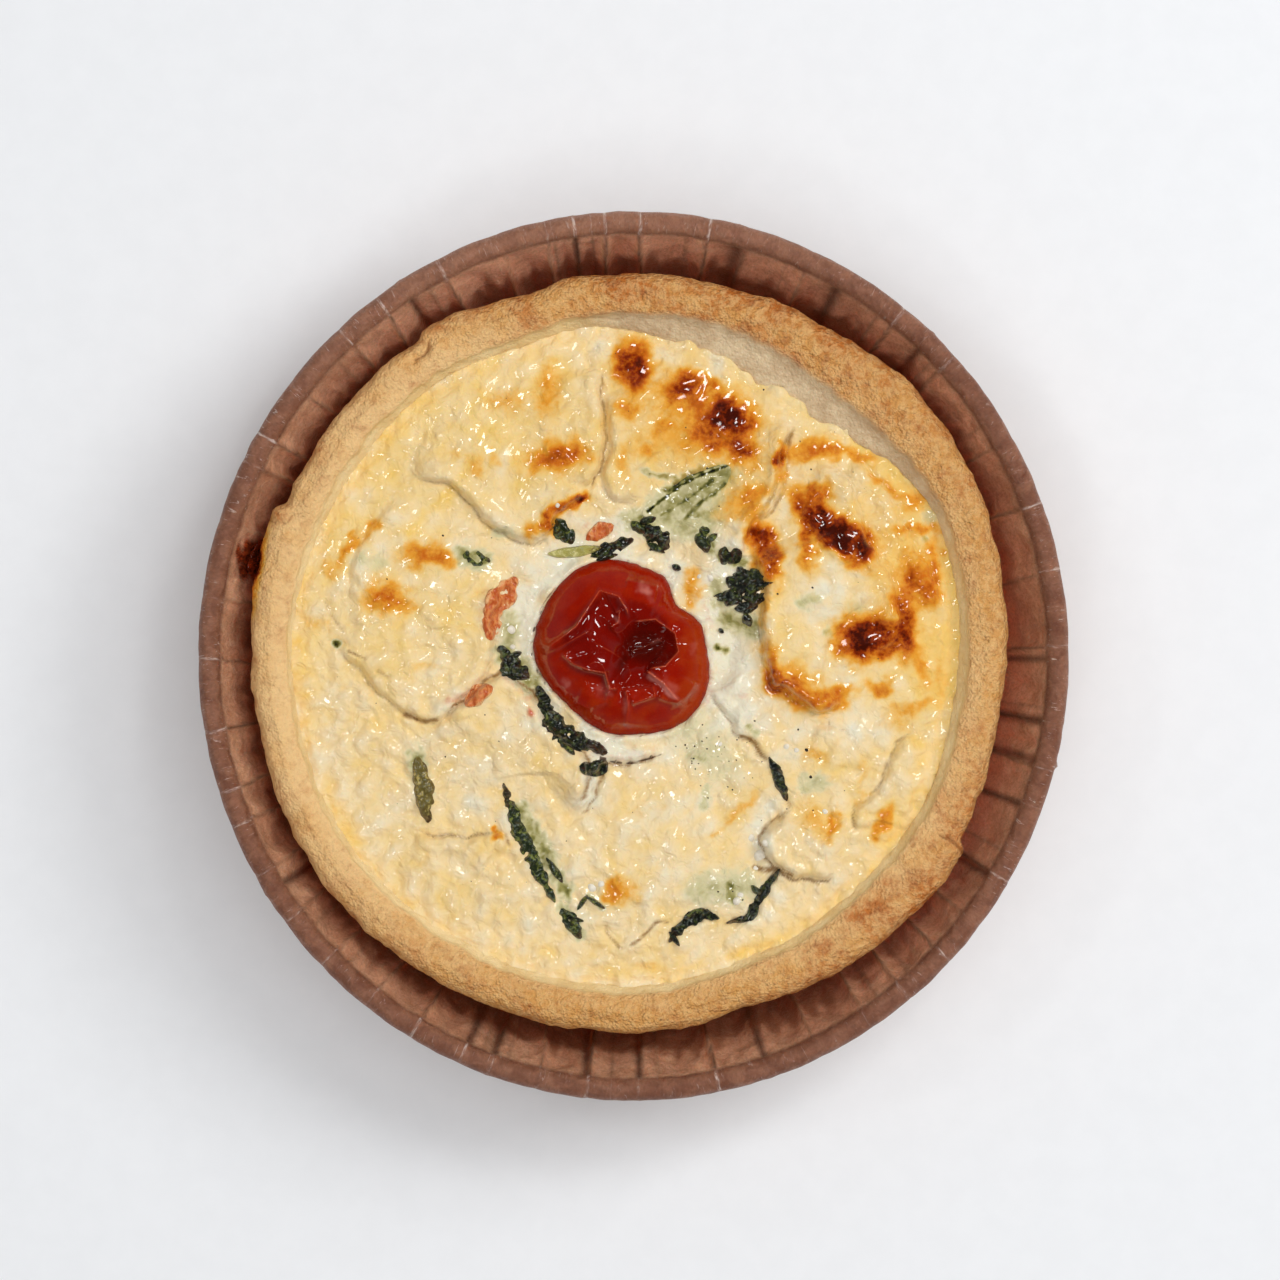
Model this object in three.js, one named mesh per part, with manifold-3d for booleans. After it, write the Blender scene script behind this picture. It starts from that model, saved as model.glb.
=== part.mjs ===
// Salmon and broccoli quiche: an open, round, single-serving pie that stands in its own
// brown paper baking case. A pastry cup holds a set custard with a lumpy, cracked top,
// a roasted half cherry tomato near the middle, dark leaves and a few flakes of salmon.
// Millimetres, +Z up, origin at the middle of the underside of the case.
import * as THREE from "three";
import { mergeVertices } from "three/addons/utils/BufferGeometryUtils.js";
import { ImprovedNoise } from "three/addons/math/ImprovedNoise.js";
import Module from "manifold-3d";

const wasm = await Module();
wasm.setup();
const unevenness = new ImprovedNoise();

// Paper case
const CASE_RADIUS_X = 69.7;
const CASE_RADIUS_Y = 71.2;
const PAPER_THICKNESS = 0.6;
const FLUTE_DEPTH = 0.85;
const RIM_WAVE = 0.22;
const CASE_WALL_TOP = 31.0;
const RIM_ROLL_RADIUS = 1.45;
const RIM_ROLL_STEPS = 5;
const RIM_ROLL_START = 170;
const RIM_ROLL_END = -75;
// Bearings of the creases of the pleats, in degrees from the photo's right
const CASE_CREASES = [
  1, 11, 21, 30, 43, 52, 61, 66, 75, 80, 89, 94, 98, 102, 108, 116, 126, 132, 141, 149, 153, 162, 172, 181,
  190, 198, 203, 210, 217, 225, 233, 240, 247, 251, 257, 264, 271, 281, 288, 295, 303, 309, 316, 322, 329,
  339, 345, 351,
];
// Middle line of the paper from the foot of the wall to the fold under the rim: radius, height
const CASE_WALL = [[55.4, 0.3], [56.6, 1.3], [59.3, 8], [62.8, 17], [66.0, 26]];

// Pastry cup
const CRUST_COLUMNS = 80;
const CRUST_BOTTOM = 0.95;
const CRUST_FLOOR = 4.5;
// Outside of the pastry from its foot to below the lip: radius, height
const CRUST_OUTSIDE = [[50.5, CRUST_BOTTOM], [52.8, 2.2], [55.2, 9], [57.4, 17], [58.9, 23.5]];
const LIP_RADIUS = 61.0;
const LIP_CENTRE_X = -0.48;
const LIP_CENTRE_Y = 0.4;
const LIP_HEIGHT = 28.2;
const CRUST_TOP = 31.0;
const RIM_WIDTH = 6.1;
const INNER_SLOPE_WIDTH = 1.7;
const CUP_EDGE_HEIGHT = 26.4;
const CUP_WALL_HEIGHT = 21.5;
const CUP_WALL_INSET = 0.9;
const CUP_HEEL_HEIGHT = 6;
const CUP_HEEL = 1.2;
const CUP_FLOOR_RADIUS = 45.5;

// Custard
const FIT_GAP = 0.35;
const CUSTARD_CELLS = 40;
const CUSTARD_HEIGHT = 27.3;
const CUSTARD_DOME = 0.7;
const CUSTARD_SPAN = 52;
const STEP_HALF_WIDTH = 0.9;
// Uneven lumps all over the custard: length and height
const LUMPS = [[5.5, 0.35], [2.6, 0.25]];

// Tomato
const TOMATO_X = -2.3;
const TOMATO_Y = 1.0;
const TOMATO_RADIUS = 13.9;
const TOMATO_CELLS = 15;
const TOMATO_WAIST = 27.2;
const TOMATO_RISE = 5.6;
const TOMATO_BOTTOM = 24.2;
const TOMATO_DENT = 3.4;
const TOMATO_DENT_X = 5.0;
const TOMATO_DENT_Y = 1.0;
const HOLLOW_ROUND_TOMATO = 0.9;
const HOLLOW_REACH = 5;

// Leaves and flakes
const LEAF_THICKNESS = 0.6;
const LEAF_CLEARANCE = 0.42;
const LEAF_TIP_SHARE = 0.16;
const LEAF_STEP = 1.9;
const WIDE_LEAF = 2.5;

// Broad swellings of the custard: x, y, half length, half width, height
const SWELLINGS = [
  [-21.4, 36.2, 15.2, 12.0, 1.3],
  [9.0, 39.4, 13.6, 10.4, 1.2],
  [31.0, 11.6, 12.5, 18.0, 2.1],
  [-39.8, 7.4, 12.8, 16.0, 1.2],
  [-19.8, -16.6, 12.0, 10.4, 1.4],
  [2.6, -31.0, 15.4, 12.2, 1.4],
  [28.6, -29.0, 9.0, 6.4, 1.3],
  [-24.6, -37.4, 12.8, 8.0, 0.8],
  [32.0, -16.0, 9.0, 7.0, 0.7],
];

// Edges of the custard plates; the side to the left of the path stands higher
const PLATE_EDGES = [
  {
    name: "upper_crease", rise: 0.9, spread: 9,
    path: [[-7.3, 26.6], [-5.5, 30.6], [-5.4, 34.6], [-5.7, 47]],
  },
  {
    name: "north_west_flap",
    rise: 1.5,
    spread: 9,
    path: [[-35.8, 28.5], [-28.6, 26.2], [-19, 19.4], [-14.2, 19], [-12.4, 21.8], [-7.4, 26.6]],
  },
  {
    name: "north_flap", rise: 1.3, spread: 6,
    path: [[18.2, 15.6], [21.5, 22.6], [23.8, 28.2], [24.6, 39]],
  },
  {
    name: "east_plate",
    rise: 1.9,
    spread: 11,
    path: [[19.8, 16.4], [21, 9], [20.6, 2.6], [21.2, -2.2], [23.4, -5.8], [31.4, -9], [35, -6.6]],
  },
  {
    name: "east_ridge", rise: 1.2, spread: 7,
    path: [[42, 5], [40.2, 12.2], [38.2, 20.2], [34.6, 28.2], [28, 33]],
  },
  { name: "south_east_seam", rise: 0.6, spread: 6, path: [[12.6, -5.4], [15.1, -9.9], [21, -16.6]] },
  {
    name: "south_east_lobe",
    rise: 1.3,
    spread: 8,
    path: [[25, -24.4], [20.6, -27.7], [21.1, -30.7], [25, -35.2], [33, -35.6]],
  },
  {
    name: "east_crease", rise: 0.8, spread: 6,
    path: [[48.2, -12.3], [43.4, -15.4], [38.3, -23], [37, -29.4]],
  },
  {
    name: "south_west_plate",
    rise: 1.2,
    spread: 9,
    path: [[-10.6, -25.2], [-7.2, -20.4], [-14.2, -10.6], [-21.6, -3.2], [-29.4, -9], [-31, -12.4]],
  },
  {
    name: "west_plate",
    rise: 0.9,
    spread: 8,
    path: [[-48.6, 2.6], [-39.3, -7], [-31, -9.9], [-22.8, -3.4], [-22.6, 3.4], [-19, 12.6]],
  },
  {
    name: "low_wrinkle", rise: 0.8, spread: 6,
    path: [[-19.8, -31.6], [-21.4, -28.8], [-29.4, -27.8], [-35.4, -29.4]],
  },
];

// Open cracks and seams: depth and half width
const CRACKS = [
  { name: "south_groove", depth: 1.0, reach: 1.3, path: [[-6.4, -18], [-7, -23], [-11.8, -26.8]] },
  {
    name: "leaf_crack_east", depth: 1.1, reach: 1.2,
    path: [[24.6, -34.2], [21.5, -39.4], [15.2, -42.8]],
  },
  { name: "leaf_crack_west", depth: 0.9, reach: 1.2, path: [[16.6, -39.6], [11, -41], [6, -46]] },
  { name: "hair_crack", depth: 0.5, reach: 0.9, path: [[6.4, -42.4], [3.4, -41.6], [-1.6, -46.9]] },
  { name: "bubble_notch", depth: 1.0, reach: 1.8, path: [[23.6, -24.6], [19.4, -28.2], [20.4, -33.6]] },
];

// Wrinkles that stand up on the tomato skin, measured from its middle
const SKIN_FOLDS = [
  [[-11.8, -0.6], [-7, 3.4], [-2.9, 9.4]],
  [[-11.8, -0.6], [-5.3, 2.2]],
  [[-2.9, 9.6], [0.6, 8], [1.6, 4.8], [-0.5, 3]],
  [[-7.7, -4.3], [-4.5, -2.6], [-2.1, -4.3], [-1.6, -6.7]],
  [[-1.6, -6.6], [0.6, -5.9], [1.6, -9.1], [5.9, -7.4]],
  [[4, -3], [5.9, -7], [10.1, -8.6]],
  [[0.6, 1.6], [3.4, 4.8], [7.4, 4.5], [9.6, 1.6], [9, -1.6], [5, -2.9]],
];
const SKIN_FOLD_HEIGHT = 0.6;
const SKIN_FOLD_REACH = 0.9;

// Leaves, stalk and flakes on the custard
const DARK_LEAF = "#222619";
const COATED_LEAF = "#8c9078";
const PALE_STALK = "#9aa04a";
const SALMON = "#c4622f";
const TOPPINGS = [
  {
    name: "leaf_under_cream", colour: COATED_LEAF, half: 3.2, crinkle: 0.5,
    path: [[0.8, 22.6], [7.5, 25.4], [15, 28.6]],
  },
  { name: "leaf_north", colour: DARK_LEAF, half: 1.6, crinkle: 0.7, path: [[1.2, 20.4], [6, 17.2]] },
  {
    name: "leaf_north_east", colour: DARK_LEAF, half: 1.3, crinkle: 0.5,
    path: [[11.8, 21.4], [10.6, 16.4]],
  },
  {
    name: "leaf_above_tomato", colour: DARK_LEAF, half: 0.8, crinkle: 0.3,
    path: [[-6, 17.5], [-3, 18.1], [0, 19.4]],
  },
  { name: "leaf_west", colour: DARK_LEAF, half: 1.2, crinkle: 0.5, path: [[-21.4, 0.8], [-17.4, -3.4]] },
  {
    name: "leaf_below_tomato",
    colour: DARK_LEAF,
    half: 1.5,
    crinkle: 0.6,
    path: [[-15.4, -5.4], [-12, -10.4], [-5.4, -14.6]],
  },
  {
    name: "leaf_south", colour: DARK_LEAF, half: 0.8, crinkle: 0.2,
    path: [[-8.2, -17.7], [-4.2, -17.2]],
  },
  {
    name: "leaf_crumpled", colour: DARK_LEAF, half: 3.2, crinkle: 1.3,
    path: [[16.8, 14.4], [17.2, 10.6], [17.6, 6.6]],
  },
  { name: "leaf_corner", colour: DARK_LEAF, half: 0.9, crinkle: 0.4, path: [[13.4, 17.2], [16.2, 16.4]] },
  {
    name: "leaf_pointed", colour: PALE_STALK, half: 1.7, crinkle: 0.3,
    path: [[-34, -16.4], [-33.4, -21.6], [-32.8, -27]],
  },
  {
    name: "leaf_long",
    colour: DARK_LEAF,
    half: 1.4,
    crinkle: 0.4,
    path: [[-20.9, -20.4], [-18.2, -27.2], [-15.6, -32.6], [-12, -39.4]],
  },
  { name: "leaf_foot", colour: DARK_LEAF, half: 1.1, crinkle: 0.5, path: [[-11.8, -41.3], [-8.4, -45]] },
  { name: "leaf_slit", colour: DARK_LEAF, half: 0.9, crinkle: 0.3, path: [[21.6, -16.8], [24.4, -22.8]] },
  {
    name: "leaf_crack_east", colour: DARK_LEAF, half: 0.9, crinkle: 0.3,
    path: [[23.8, -35], [21.5, -39.4], [15.4, -42.6]],
  },
  {
    name: "leaf_crack_west", colour: DARK_LEAF, half: 1.1, crinkle: 0.4,
    path: [[14.2, -40.2], [11, -41], [6.2, -45.8]],
  },
  { name: "leaf_by_flap", colour: DARK_LEAF, half: 1.1, crinkle: 0.5, path: [[-12, 21.4], [-9.6, 18.2]] },
  {
    name: "leaf_north_west", colour: DARK_LEAF, half: 1.1, crinkle: 0.5,
    path: [[-27, 16.7], [-23.2, 15.2]],
  },
  { name: "stalk", colour: PALE_STALK, half: 0.7, crinkle: 0.1, path: [[-13.6, 16.5], [-7.4, 16.8]] },
  {
    name: "salmon_west", colour: SALMON, half: 1.3, crinkle: 0.5,
    path: [[-22.9, 3.2], [-22.4, 7.4], [-20.2, 11.6]],
  },
  {
    name: "salmon_south_west", colour: SALMON, half: 0.9, crinkle: 0.4,
    path: [[-27.2, -7.8], [-23, -5]],
  },
  { name: "salmon_north", colour: SALMON, half: 1.1, crinkle: 0.4, path: [[-7.2, 18.9], [-3.8, 21]] },
];

function toDegrees(angle) {
  return (angle * 180) / Math.PI;
}

function smoothStep(low, high, value) {
  const share = Math.min(1, Math.max(0, (value - low) / (high - low)));
  return share * share * (3 - 2 * share);
}

// Signed turn in degrees from one direction to another, between -180 and 180
function turnBetween(from, to) {
  return ((((to - from) % 360) + 540) % 360) - 180;
}

// A rounded rise over a stretch of the outline
function swell(angle, centre, halfWidth, amount) {
  const turn = Math.abs(turnBetween(centre, toDegrees(angle)));
  if (turn >= halfWidth) {
    return 0;
  }
  return 0.5 * amount * (1 + Math.cos((Math.PI * turn) / halfWidth));
}

// A one-sided lap of pastry: it grows from the start to the peak and drops to the end
function lap(angle, start, peak, end, amount) {
  const turn = turnBetween(start, toDegrees(angle));
  const toPeak = turnBetween(start, peak);
  const toEnd = turnBetween(start, end);
  if (turn <= 0 || turn >= toEnd) {
    return 0;
  }
  return amount * (turn < toPeak ? turn / toPeak : (toEnd - turn) / (toEnd - toPeak));
}

function seededRandom(seed) {
  let state = seed;
  return () => {
    state = (state * 1664525 + 1013904223) % 4294967296;
    return state / 4294967296;
  };
}

// Nearest place on a path: distance, side (positive on the left) and share of the length
function nearestOnPath(x, y, path) {
  let best = { distance: Infinity, offset: 0, side: 0, share: 0 };
  let lengthBefore = 0;
  let total = 0;
  for (let i = 1; i < path.length; i += 1) {
    total += Math.hypot(path[i][0] - path[i - 1][0], path[i][1] - path[i - 1][1]);
  }
  for (let i = 1; i < path.length; i += 1) {
    const [ax, ay] = path[i - 1];
    const [bx, by] = path[i];
    const length = Math.hypot(bx - ax, by - ay);
    const along = ((x - ax) * (bx - ax) + (y - ay) * (by - ay)) / length;
    const offset = ((bx - ax) * (y - ay) - (by - ay) * (x - ax)) / length;
    const held = Math.min(length, Math.max(0, along));
    const distance = Math.hypot(offset, along - held);
    const nearer = distance < best.distance - 1e-9;
    const tied = Math.abs(distance - best.distance) <= 1e-9 && Math.abs(offset) > Math.abs(best.offset);
    if (nearer || tied) {
      best = { distance, offset, side: Math.sign(offset), share: (lengthBefore + held) / total };
    }
    lengthBefore += length;
  }
  return best;
}

function endFade(share) {
  return smoothStep(0, 0.12, share) * smoothStep(0, 0.12, 1 - share);
}

function lipRadius(angle) {
  let radius = LIP_RADIUS + LIP_CENTRE_X * Math.cos(angle) + LIP_CENTRE_Y * Math.sin(angle);
  radius += swell(angle, 38, 30, 1.3);
  radius += swell(angle, 110, 14, -1.0);
  radius += swell(angle, 288, 16, -1.1);
  radius += swell(angle, 348, 24, -0.8);
  radius += swell(angle, 218, 26, 0.6);
  return radius;
}

// The smooth lip with its torn laps and small crags
function raggedLipRadius(angle) {
  let radius = lipRadius(angle);
  radius += lap(angle, 132, 154, 158, -0.9);
  radius += lap(angle, 157, 161, 178, 0.8);
  radius += lap(angle, 104, 122, 126, 0.7);
  radius += lap(angle, 303, 328, 332, 1.2);
  return radius + 0.3 * unevenness.noise(Math.cos(angle) * 9, Math.sin(angle) * 9, 4.2);
}

function rimWidth(angle) {
  return RIM_WIDTH + swell(angle, 47, 28, 2.2) + swell(angle, 313, 28, 1.1) + swell(angle, 190, 40, -0.4);
}

function slopeWidth(angle) {
  return INNER_SLOPE_WIDTH + swell(angle, 63, 42, 5.2) + swell(angle, 190, 50, -0.7);
}

// Radius of the cup's mouth where the custard meets the pastry
function cupEdgeRadius(angle) {
  return lipRadius(angle) - rimWidth(angle) - slopeWidth(angle);
}

function custardRadius(angle) {
  return cupEdgeRadius(angle) - FIT_GAP;
}

function tomatoOutline(angle) {
  let radius = TOMATO_RADIUS;
  radius += swell(angle, 38, 24, -2.1);
  radius += swell(angle, 322, 50, 2.0);
  radius += swell(angle, 226, 50, -1.6);
  radius += swell(angle, 110, 45, 0.9);
  return radius;
}

// Height of the custard's top
function custardTop(x, y) {
  const radius = Math.hypot(x, y);
  let height = CUSTARD_HEIGHT + CUSTARD_DOME * (1 - (radius / CUSTARD_SPAN) ** 2);
  for (const [cx, cy, halfLength, halfWidth, rise] of SWELLINGS) {
    const far = ((x - cx) / halfLength) ** 2 + ((y - cy) / halfWidth) ** 2;
    height += rise * Math.exp(-1.2 * far);
  }
  for (const edge of PLATE_EDGES) {
    const near = nearestOnPath(x, y, edge.path);
    const signed = near.distance * near.side;
    const step = smoothStep(-STEP_HALF_WIDTH, STEP_HALF_WIDTH, signed);
    height += edge.rise * step * Math.exp(-((signed / edge.spread) ** 2)) * endFade(near.share);
  }
  for (const crack of CRACKS) {
    const near = nearestOnPath(x, y, crack.path);
    height -= crack.depth * Math.exp(-((near.distance / crack.reach) ** 2)) * endFade(near.share);
  }
  const fromTomato = Math.hypot(x - TOMATO_X, y - TOMATO_Y);
  const outline = tomatoOutline(Math.atan2(y - TOMATO_Y, x - TOMATO_X));
  height -= HOLLOW_ROUND_TOMATO * Math.exp(-((Math.max(0, fromTomato - outline) / HOLLOW_REACH) ** 2));
  for (const [length, rise] of LUMPS) {
    height += rise * unevenness.noise(x / length, y / length, length);
  }
  return height;
}

// Polar place of a point of the square grid -1..1 laid out as a disc
function discPlace(u, v) {
  const share = Math.max(Math.abs(u), Math.abs(v));
  if (share === 0) {
    return [0, 0];
  }
  if (Math.abs(u) >= Math.abs(v)) {
    return [share, (Math.PI / 4) * (v / u) + (u < 0 ? Math.PI : 0)];
  }
  return [share, Math.PI / 2 - (Math.PI / 4) * (u / v) + (v < 0 ? Math.PI : 0)];
}

// Place on the square grid -1..1 of a polar place on the disc
function squarePlace(share, angle) {
  const quarter = Math.PI / 4;
  const turned = (((angle + quarter) % (2 * Math.PI)) + 2 * Math.PI) % (2 * Math.PI);
  const side = Math.floor(turned / (2 * quarter));
  const across = ((turned - side * 2 * quarter) / quarter - 1) * share;
  return [[share, across], [-across, share], [-share, -across], [across, -share]][side];
}

function custardGridPoint(i, j) {
  const [share, angle] = discPlace((2 * i) / CUSTARD_CELLS - 1, (2 * j) / CUSTARD_CELLS - 1);
  const radius = share * custardRadius(angle);
  const x = radius * Math.cos(angle);
  const y = radius * Math.sin(angle);
  return [x, y, custardTop(x, y)];
}

// Height of the faceted custard under a point, so that the toppings lie clear of it
function facetHeight(x, y) {
  const angle = Math.atan2(y, x);
  const share = Math.min(1, Math.hypot(x, y) / custardRadius(angle));
  const [u, v] = squarePlace(share, angle);
  const gridX = ((u + 1) / 2) * CUSTARD_CELLS;
  const gridY = ((v + 1) / 2) * CUSTARD_CELLS;
  const i = Math.min(CUSTARD_CELLS - 1, Math.floor(gridX));
  const j = Math.min(CUSTARD_CELLS - 1, Math.floor(gridY));
  const p = gridX - i;
  const q = gridY - j;
  const near = custardGridPoint(i, j)[2];
  const far = custardGridPoint(i + 1, j + 1)[2];
  if (p >= q) {
    const side = custardGridPoint(i + 1, j)[2];
    return near + p * (side - near) + q * (far - side);
  }
  const side = custardGridPoint(i, j + 1)[2];
  return near + q * (side - near) + p * (far - side);
}

function geometryFrom(points, faces) {
  const geometry = new THREE.BufferGeometry();
  geometry.setAttribute("position", new THREE.Float32BufferAttribute(points.flat(), 3));
  geometry.setIndex(faces.flat());
  return geometry;
}

// A solid turned round the Z axis from a closed section that starts and ends on the axis
function turnedSolid(angles, sectionAt) {
  const sections = angles.map((angle) => sectionAt(angle));
  const rings = sections[0].length - 2;
  const columns = angles.length;
  const points = [[0, 0, sections[0][0][1]], [0, 0, sections[0][rings + 1][1]]];
  sections.forEach((section, column) => {
    for (const [radius, height] of section.slice(1, -1)) {
      points.push([radius * Math.cos(angles[column]), radius * Math.sin(angles[column]), height]);
    }
  });
  const at = (column, ring) => 2 + (column % columns) * rings + ring;
  const faces = [];
  for (let column = 0; column < columns; column += 1) {
    faces.push([0, at(column + 1, 0), at(column, 0)]);
    faces.push([1, at(column, rings - 1), at(column + 1, rings - 1)]);
    for (let ring = 0; ring < rings - 1; ring += 1) {
      faces.push([at(column, ring), at(column + 1, ring), at(column + 1, ring + 1)]);
      faces.push([at(column, ring), at(column + 1, ring + 1), at(column, ring + 1)]);
    }
  }
  return geometryFrom(points, faces);
}

// A solid with an even grid on its top, carried down by rings to a flat underside
function mouldedSolid(cells, topPoint, ringsDown) {
  const points = [];
  const faces = [];
  for (let j = 0; j <= cells; j += 1) {
    for (let i = 0; i <= cells; i += 1) {
      points.push(topPoint(i, j));
    }
  }
  const at = (i, j) => j * (cells + 1) + i;
  for (let j = 0; j < cells; j += 1) {
    for (let i = 0; i < cells; i += 1) {
      faces.push([at(i, j), at(i + 1, j), at(i + 1, j + 1)]);
      faces.push([at(i, j), at(i + 1, j + 1), at(i, j + 1)]);
    }
  }
  const edge = [];
  for (let i = 0; i < cells; i += 1) {
    edge.push([i, 0]);
  }
  for (let j = 0; j < cells; j += 1) {
    edge.push([cells, j]);
  }
  for (let i = cells; i > 0; i -= 1) {
    edge.push([i, cells]);
  }
  for (let j = cells; j > 0; j -= 1) {
    edge.push([0, j]);
  }
  let above = edge.map(([i, j]) => at(i, j));
  for (const ringPoint of ringsDown) {
    const below = edge.map(([i, j]) => {
      const [, angle] = discPlace((2 * i) / cells - 1, (2 * j) / cells - 1);
      points.push(ringPoint(angle));
      return points.length - 1;
    });
    above.forEach((corner, k) => {
      const next = (k + 1) % above.length;
      faces.push([corner, below[k], below[next]]);
      faces.push([corner, below[next], above[next]]);
    });
    above = below;
  }
  const middle = points.length;
  const sum = above.reduce((total, k) => [total[0] + points[k][0], total[1] + points[k][1]], [0, 0]);
  points.push([sum[0] / above.length, sum[1] / above.length, points[above[0]][2]]);
  above.forEach((corner, k) => {
    faces.push([middle, above[(k + 1) % above.length], corner]);
  });
  return geometryFrom(points, faces);
}

function toManifold(geometry) {
  const bare = geometry.clone();
  bare.deleteAttribute("normal");
  bare.deleteAttribute("uv");
  const welded = mergeVertices(bare, 1e-5);
  return new wasm.Manifold(
    new wasm.Mesh({
      numProp: 3,
      vertProperties: new Float32Array(welded.attributes.position.array),
      triVerts: new Uint32Array(welded.index.array),
    }),
  );
}

function fromManifold(manifold) {
  const mesh = manifold.getMesh();
  const geometry = new THREE.BufferGeometry();
  geometry.setAttribute("position", new THREE.Float32BufferAttribute(mesh.vertProperties, 3));
  geometry.setIndex(Array.from(mesh.triVerts));
  return geometry;
}

function namedMesh(name, geometry, colour, roughness) {
  const material = new THREE.MeshStandardMaterial({ color: colour, roughness, metalness: 0 });
  geometry.computeVertexNormals();
  const mesh = new THREE.Mesh(geometry, material);
  mesh.name = name;
  return mesh;
}

// Half a thickness to each side of a line of radius and height pairs
function thickened(line, halfThickness) {
  return line.map(([radius, height], k) => {
    const before = line[Math.max(0, k - 1)];
    const after = line[Math.min(line.length - 1, k + 1)];
    const length = Math.hypot(after[0] - before[0], after[1] - before[1]);
    const across = [(after[1] - before[1]) / length, -(after[0] - before[0]) / length];
    return [radius + halfThickness * across[0], height + halfThickness * across[1]];
  });
}

// Pleated paper: every pleat has a crease that stands in and a panel that stands out
function paperCase() {
  const random = seededRandom(11);
  const angles = [];
  const pushes = new Map();
  CASE_CREASES.forEach((crease, k) => {
    const next = k + 1 < CASE_CREASES.length ? CASE_CREASES[k + 1] : CASE_CREASES[0] + 360;
    const middle = crease + (next - crease) * (0.4 + 0.25 * random());
    angles.push((crease * Math.PI) / 180, (middle * Math.PI) / 180);
    pushes.set(angles[angles.length - 2], -0.7 - 0.3 * random());
    pushes.set(angles[angles.length - 1], 0.4 + 0.5 * random());
  });
  const half = PAPER_THICKNESS / 2;
  const rollRadius = CASE_RADIUS_Y - half - RIM_ROLL_RADIUS;
  const line = CASE_WALL.map((place) => [...place]);
  for (let step = 0; step <= RIM_ROLL_STEPS; step += 1) {
    const turn = RIM_ROLL_START + ((RIM_ROLL_END - RIM_ROLL_START) * step) / RIM_ROLL_STEPS;
    const bearing = (turn * Math.PI) / 180;
    line.push([
      rollRadius + RIM_ROLL_RADIUS * Math.cos(bearing),
      CASE_WALL_TOP + RIM_ROLL_RADIUS * Math.sin(bearing),
    ]);
  }
  const outside = thickened(line, half);
  const inside = thickened(line, -half).reverse();
  outside[0] = [outside[0][0], 0];
  inside[inside.length - 1] = [inside[inside.length - 1][0], PAPER_THICKNESS];
  return turnedSolid(angles, (angle) => {
    const size = 1 / Math.hypot(Math.cos(angle) / CASE_RADIUS_X, Math.sin(angle) / CASE_RADIUS_Y);
    const scale = size / CASE_RADIUS_Y;
    const place = ([radius, height]) => {
      const flute = FLUTE_DEPTH * smoothStep(1, 14, height) * (1 - smoothStep(20, CASE_WALL_TOP, height));
      const wave = RIM_WAVE * smoothStep(14, CASE_WALL_TOP, height);
      return [radius * scale + (flute + wave) * pushes.get(angle), height + wave * pushes.get(angle)];
    };
    return [[0, 0], ...outside.map(place), ...inside.map(place), [0, PAPER_THICKNESS]];
  });
}

function pastryCrust() {
  const angles = Array.from({ length: CRUST_COLUMNS }, (_, k) => (2 * Math.PI * k) / CRUST_COLUMNS);
  return turnedSolid(angles, (angle) => {
    const lip = raggedLipRadius(angle);
    const rim = rimWidth(angle);
    const mouth = cupEdgeRadius(angle);
    const crag = 0.45 * unevenness.noise(Math.cos(angle) * 7, Math.sin(angle) * 7, 9.1);
    return [
      [0, CRUST_BOTTOM],
      ...CRUST_OUTSIDE,
      [lip - 0.9, LIP_HEIGHT - 2.2],
      [lip, LIP_HEIGHT + crag],
      [lip - 0.9, LIP_HEIGHT + 2.0 + crag],
      [lip - 2.6, CRUST_TOP + crag],
      [lip - 0.62 * rim, CRUST_TOP + 0.1 - 0.4 * crag],
      [lipRadius(angle) - rim, CRUST_TOP - 1.0],
      [mouth + 0.45 * slopeWidth(angle), CUP_EDGE_HEIGHT + 1.9],
      [mouth, CUP_EDGE_HEIGHT],
      [mouth - CUP_WALL_INSET, CUP_WALL_HEIGHT],
      [CUP_FLOOR_RADIUS, CUP_HEEL_HEIGHT],
      [CUP_FLOOR_RADIUS - CUP_HEEL, CRUST_FLOOR],
      [0, CRUST_FLOOR],
    ];
  });
}

function custard() {
  const ring = (radiusAt, height) => (angle) => {
    const radius = radiusAt(angle);
    return [radius * Math.cos(angle), radius * Math.sin(angle), height];
  };
  const body = mouldedSolid(CUSTARD_CELLS, custardGridPoint, [
    ring((angle) => custardRadius(angle) - CUP_WALL_INSET, CUP_WALL_HEIGHT),
    ring(() => CUP_FLOOR_RADIUS - FIT_GAP, CUP_HEEL_HEIGHT),
    ring(() => CUP_FLOOR_RADIUS - CUP_HEEL - FIT_GAP, CRUST_FLOOR + FIT_GAP),
  ]);
  const socket = tomatoBody(FIT_GAP, () => TOMATO_WAIST + 12);
  return fromManifold(toManifold(body).subtract(toManifold(socket)));
}

function tomatoTop(x, y, share) {
  let height = TOMATO_WAIST + TOMATO_RISE * (1 - share ** 3.2) ** 0.6;
  const far = ((x - TOMATO_DENT_X) / 4.8) ** 2 + ((y - TOMATO_DENT_Y) / 3.9) ** 2;
  height -= TOMATO_DENT * Math.exp(-(far ** 1.3));
  for (const fold of SKIN_FOLDS) {
    const near = nearestOnPath(x, y, fold);
    height += SKIN_FOLD_HEIGHT * Math.exp(-((near.distance / SKIN_FOLD_REACH) ** 2)) * (1 - share ** 4);
  }
  return height;
}

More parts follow.
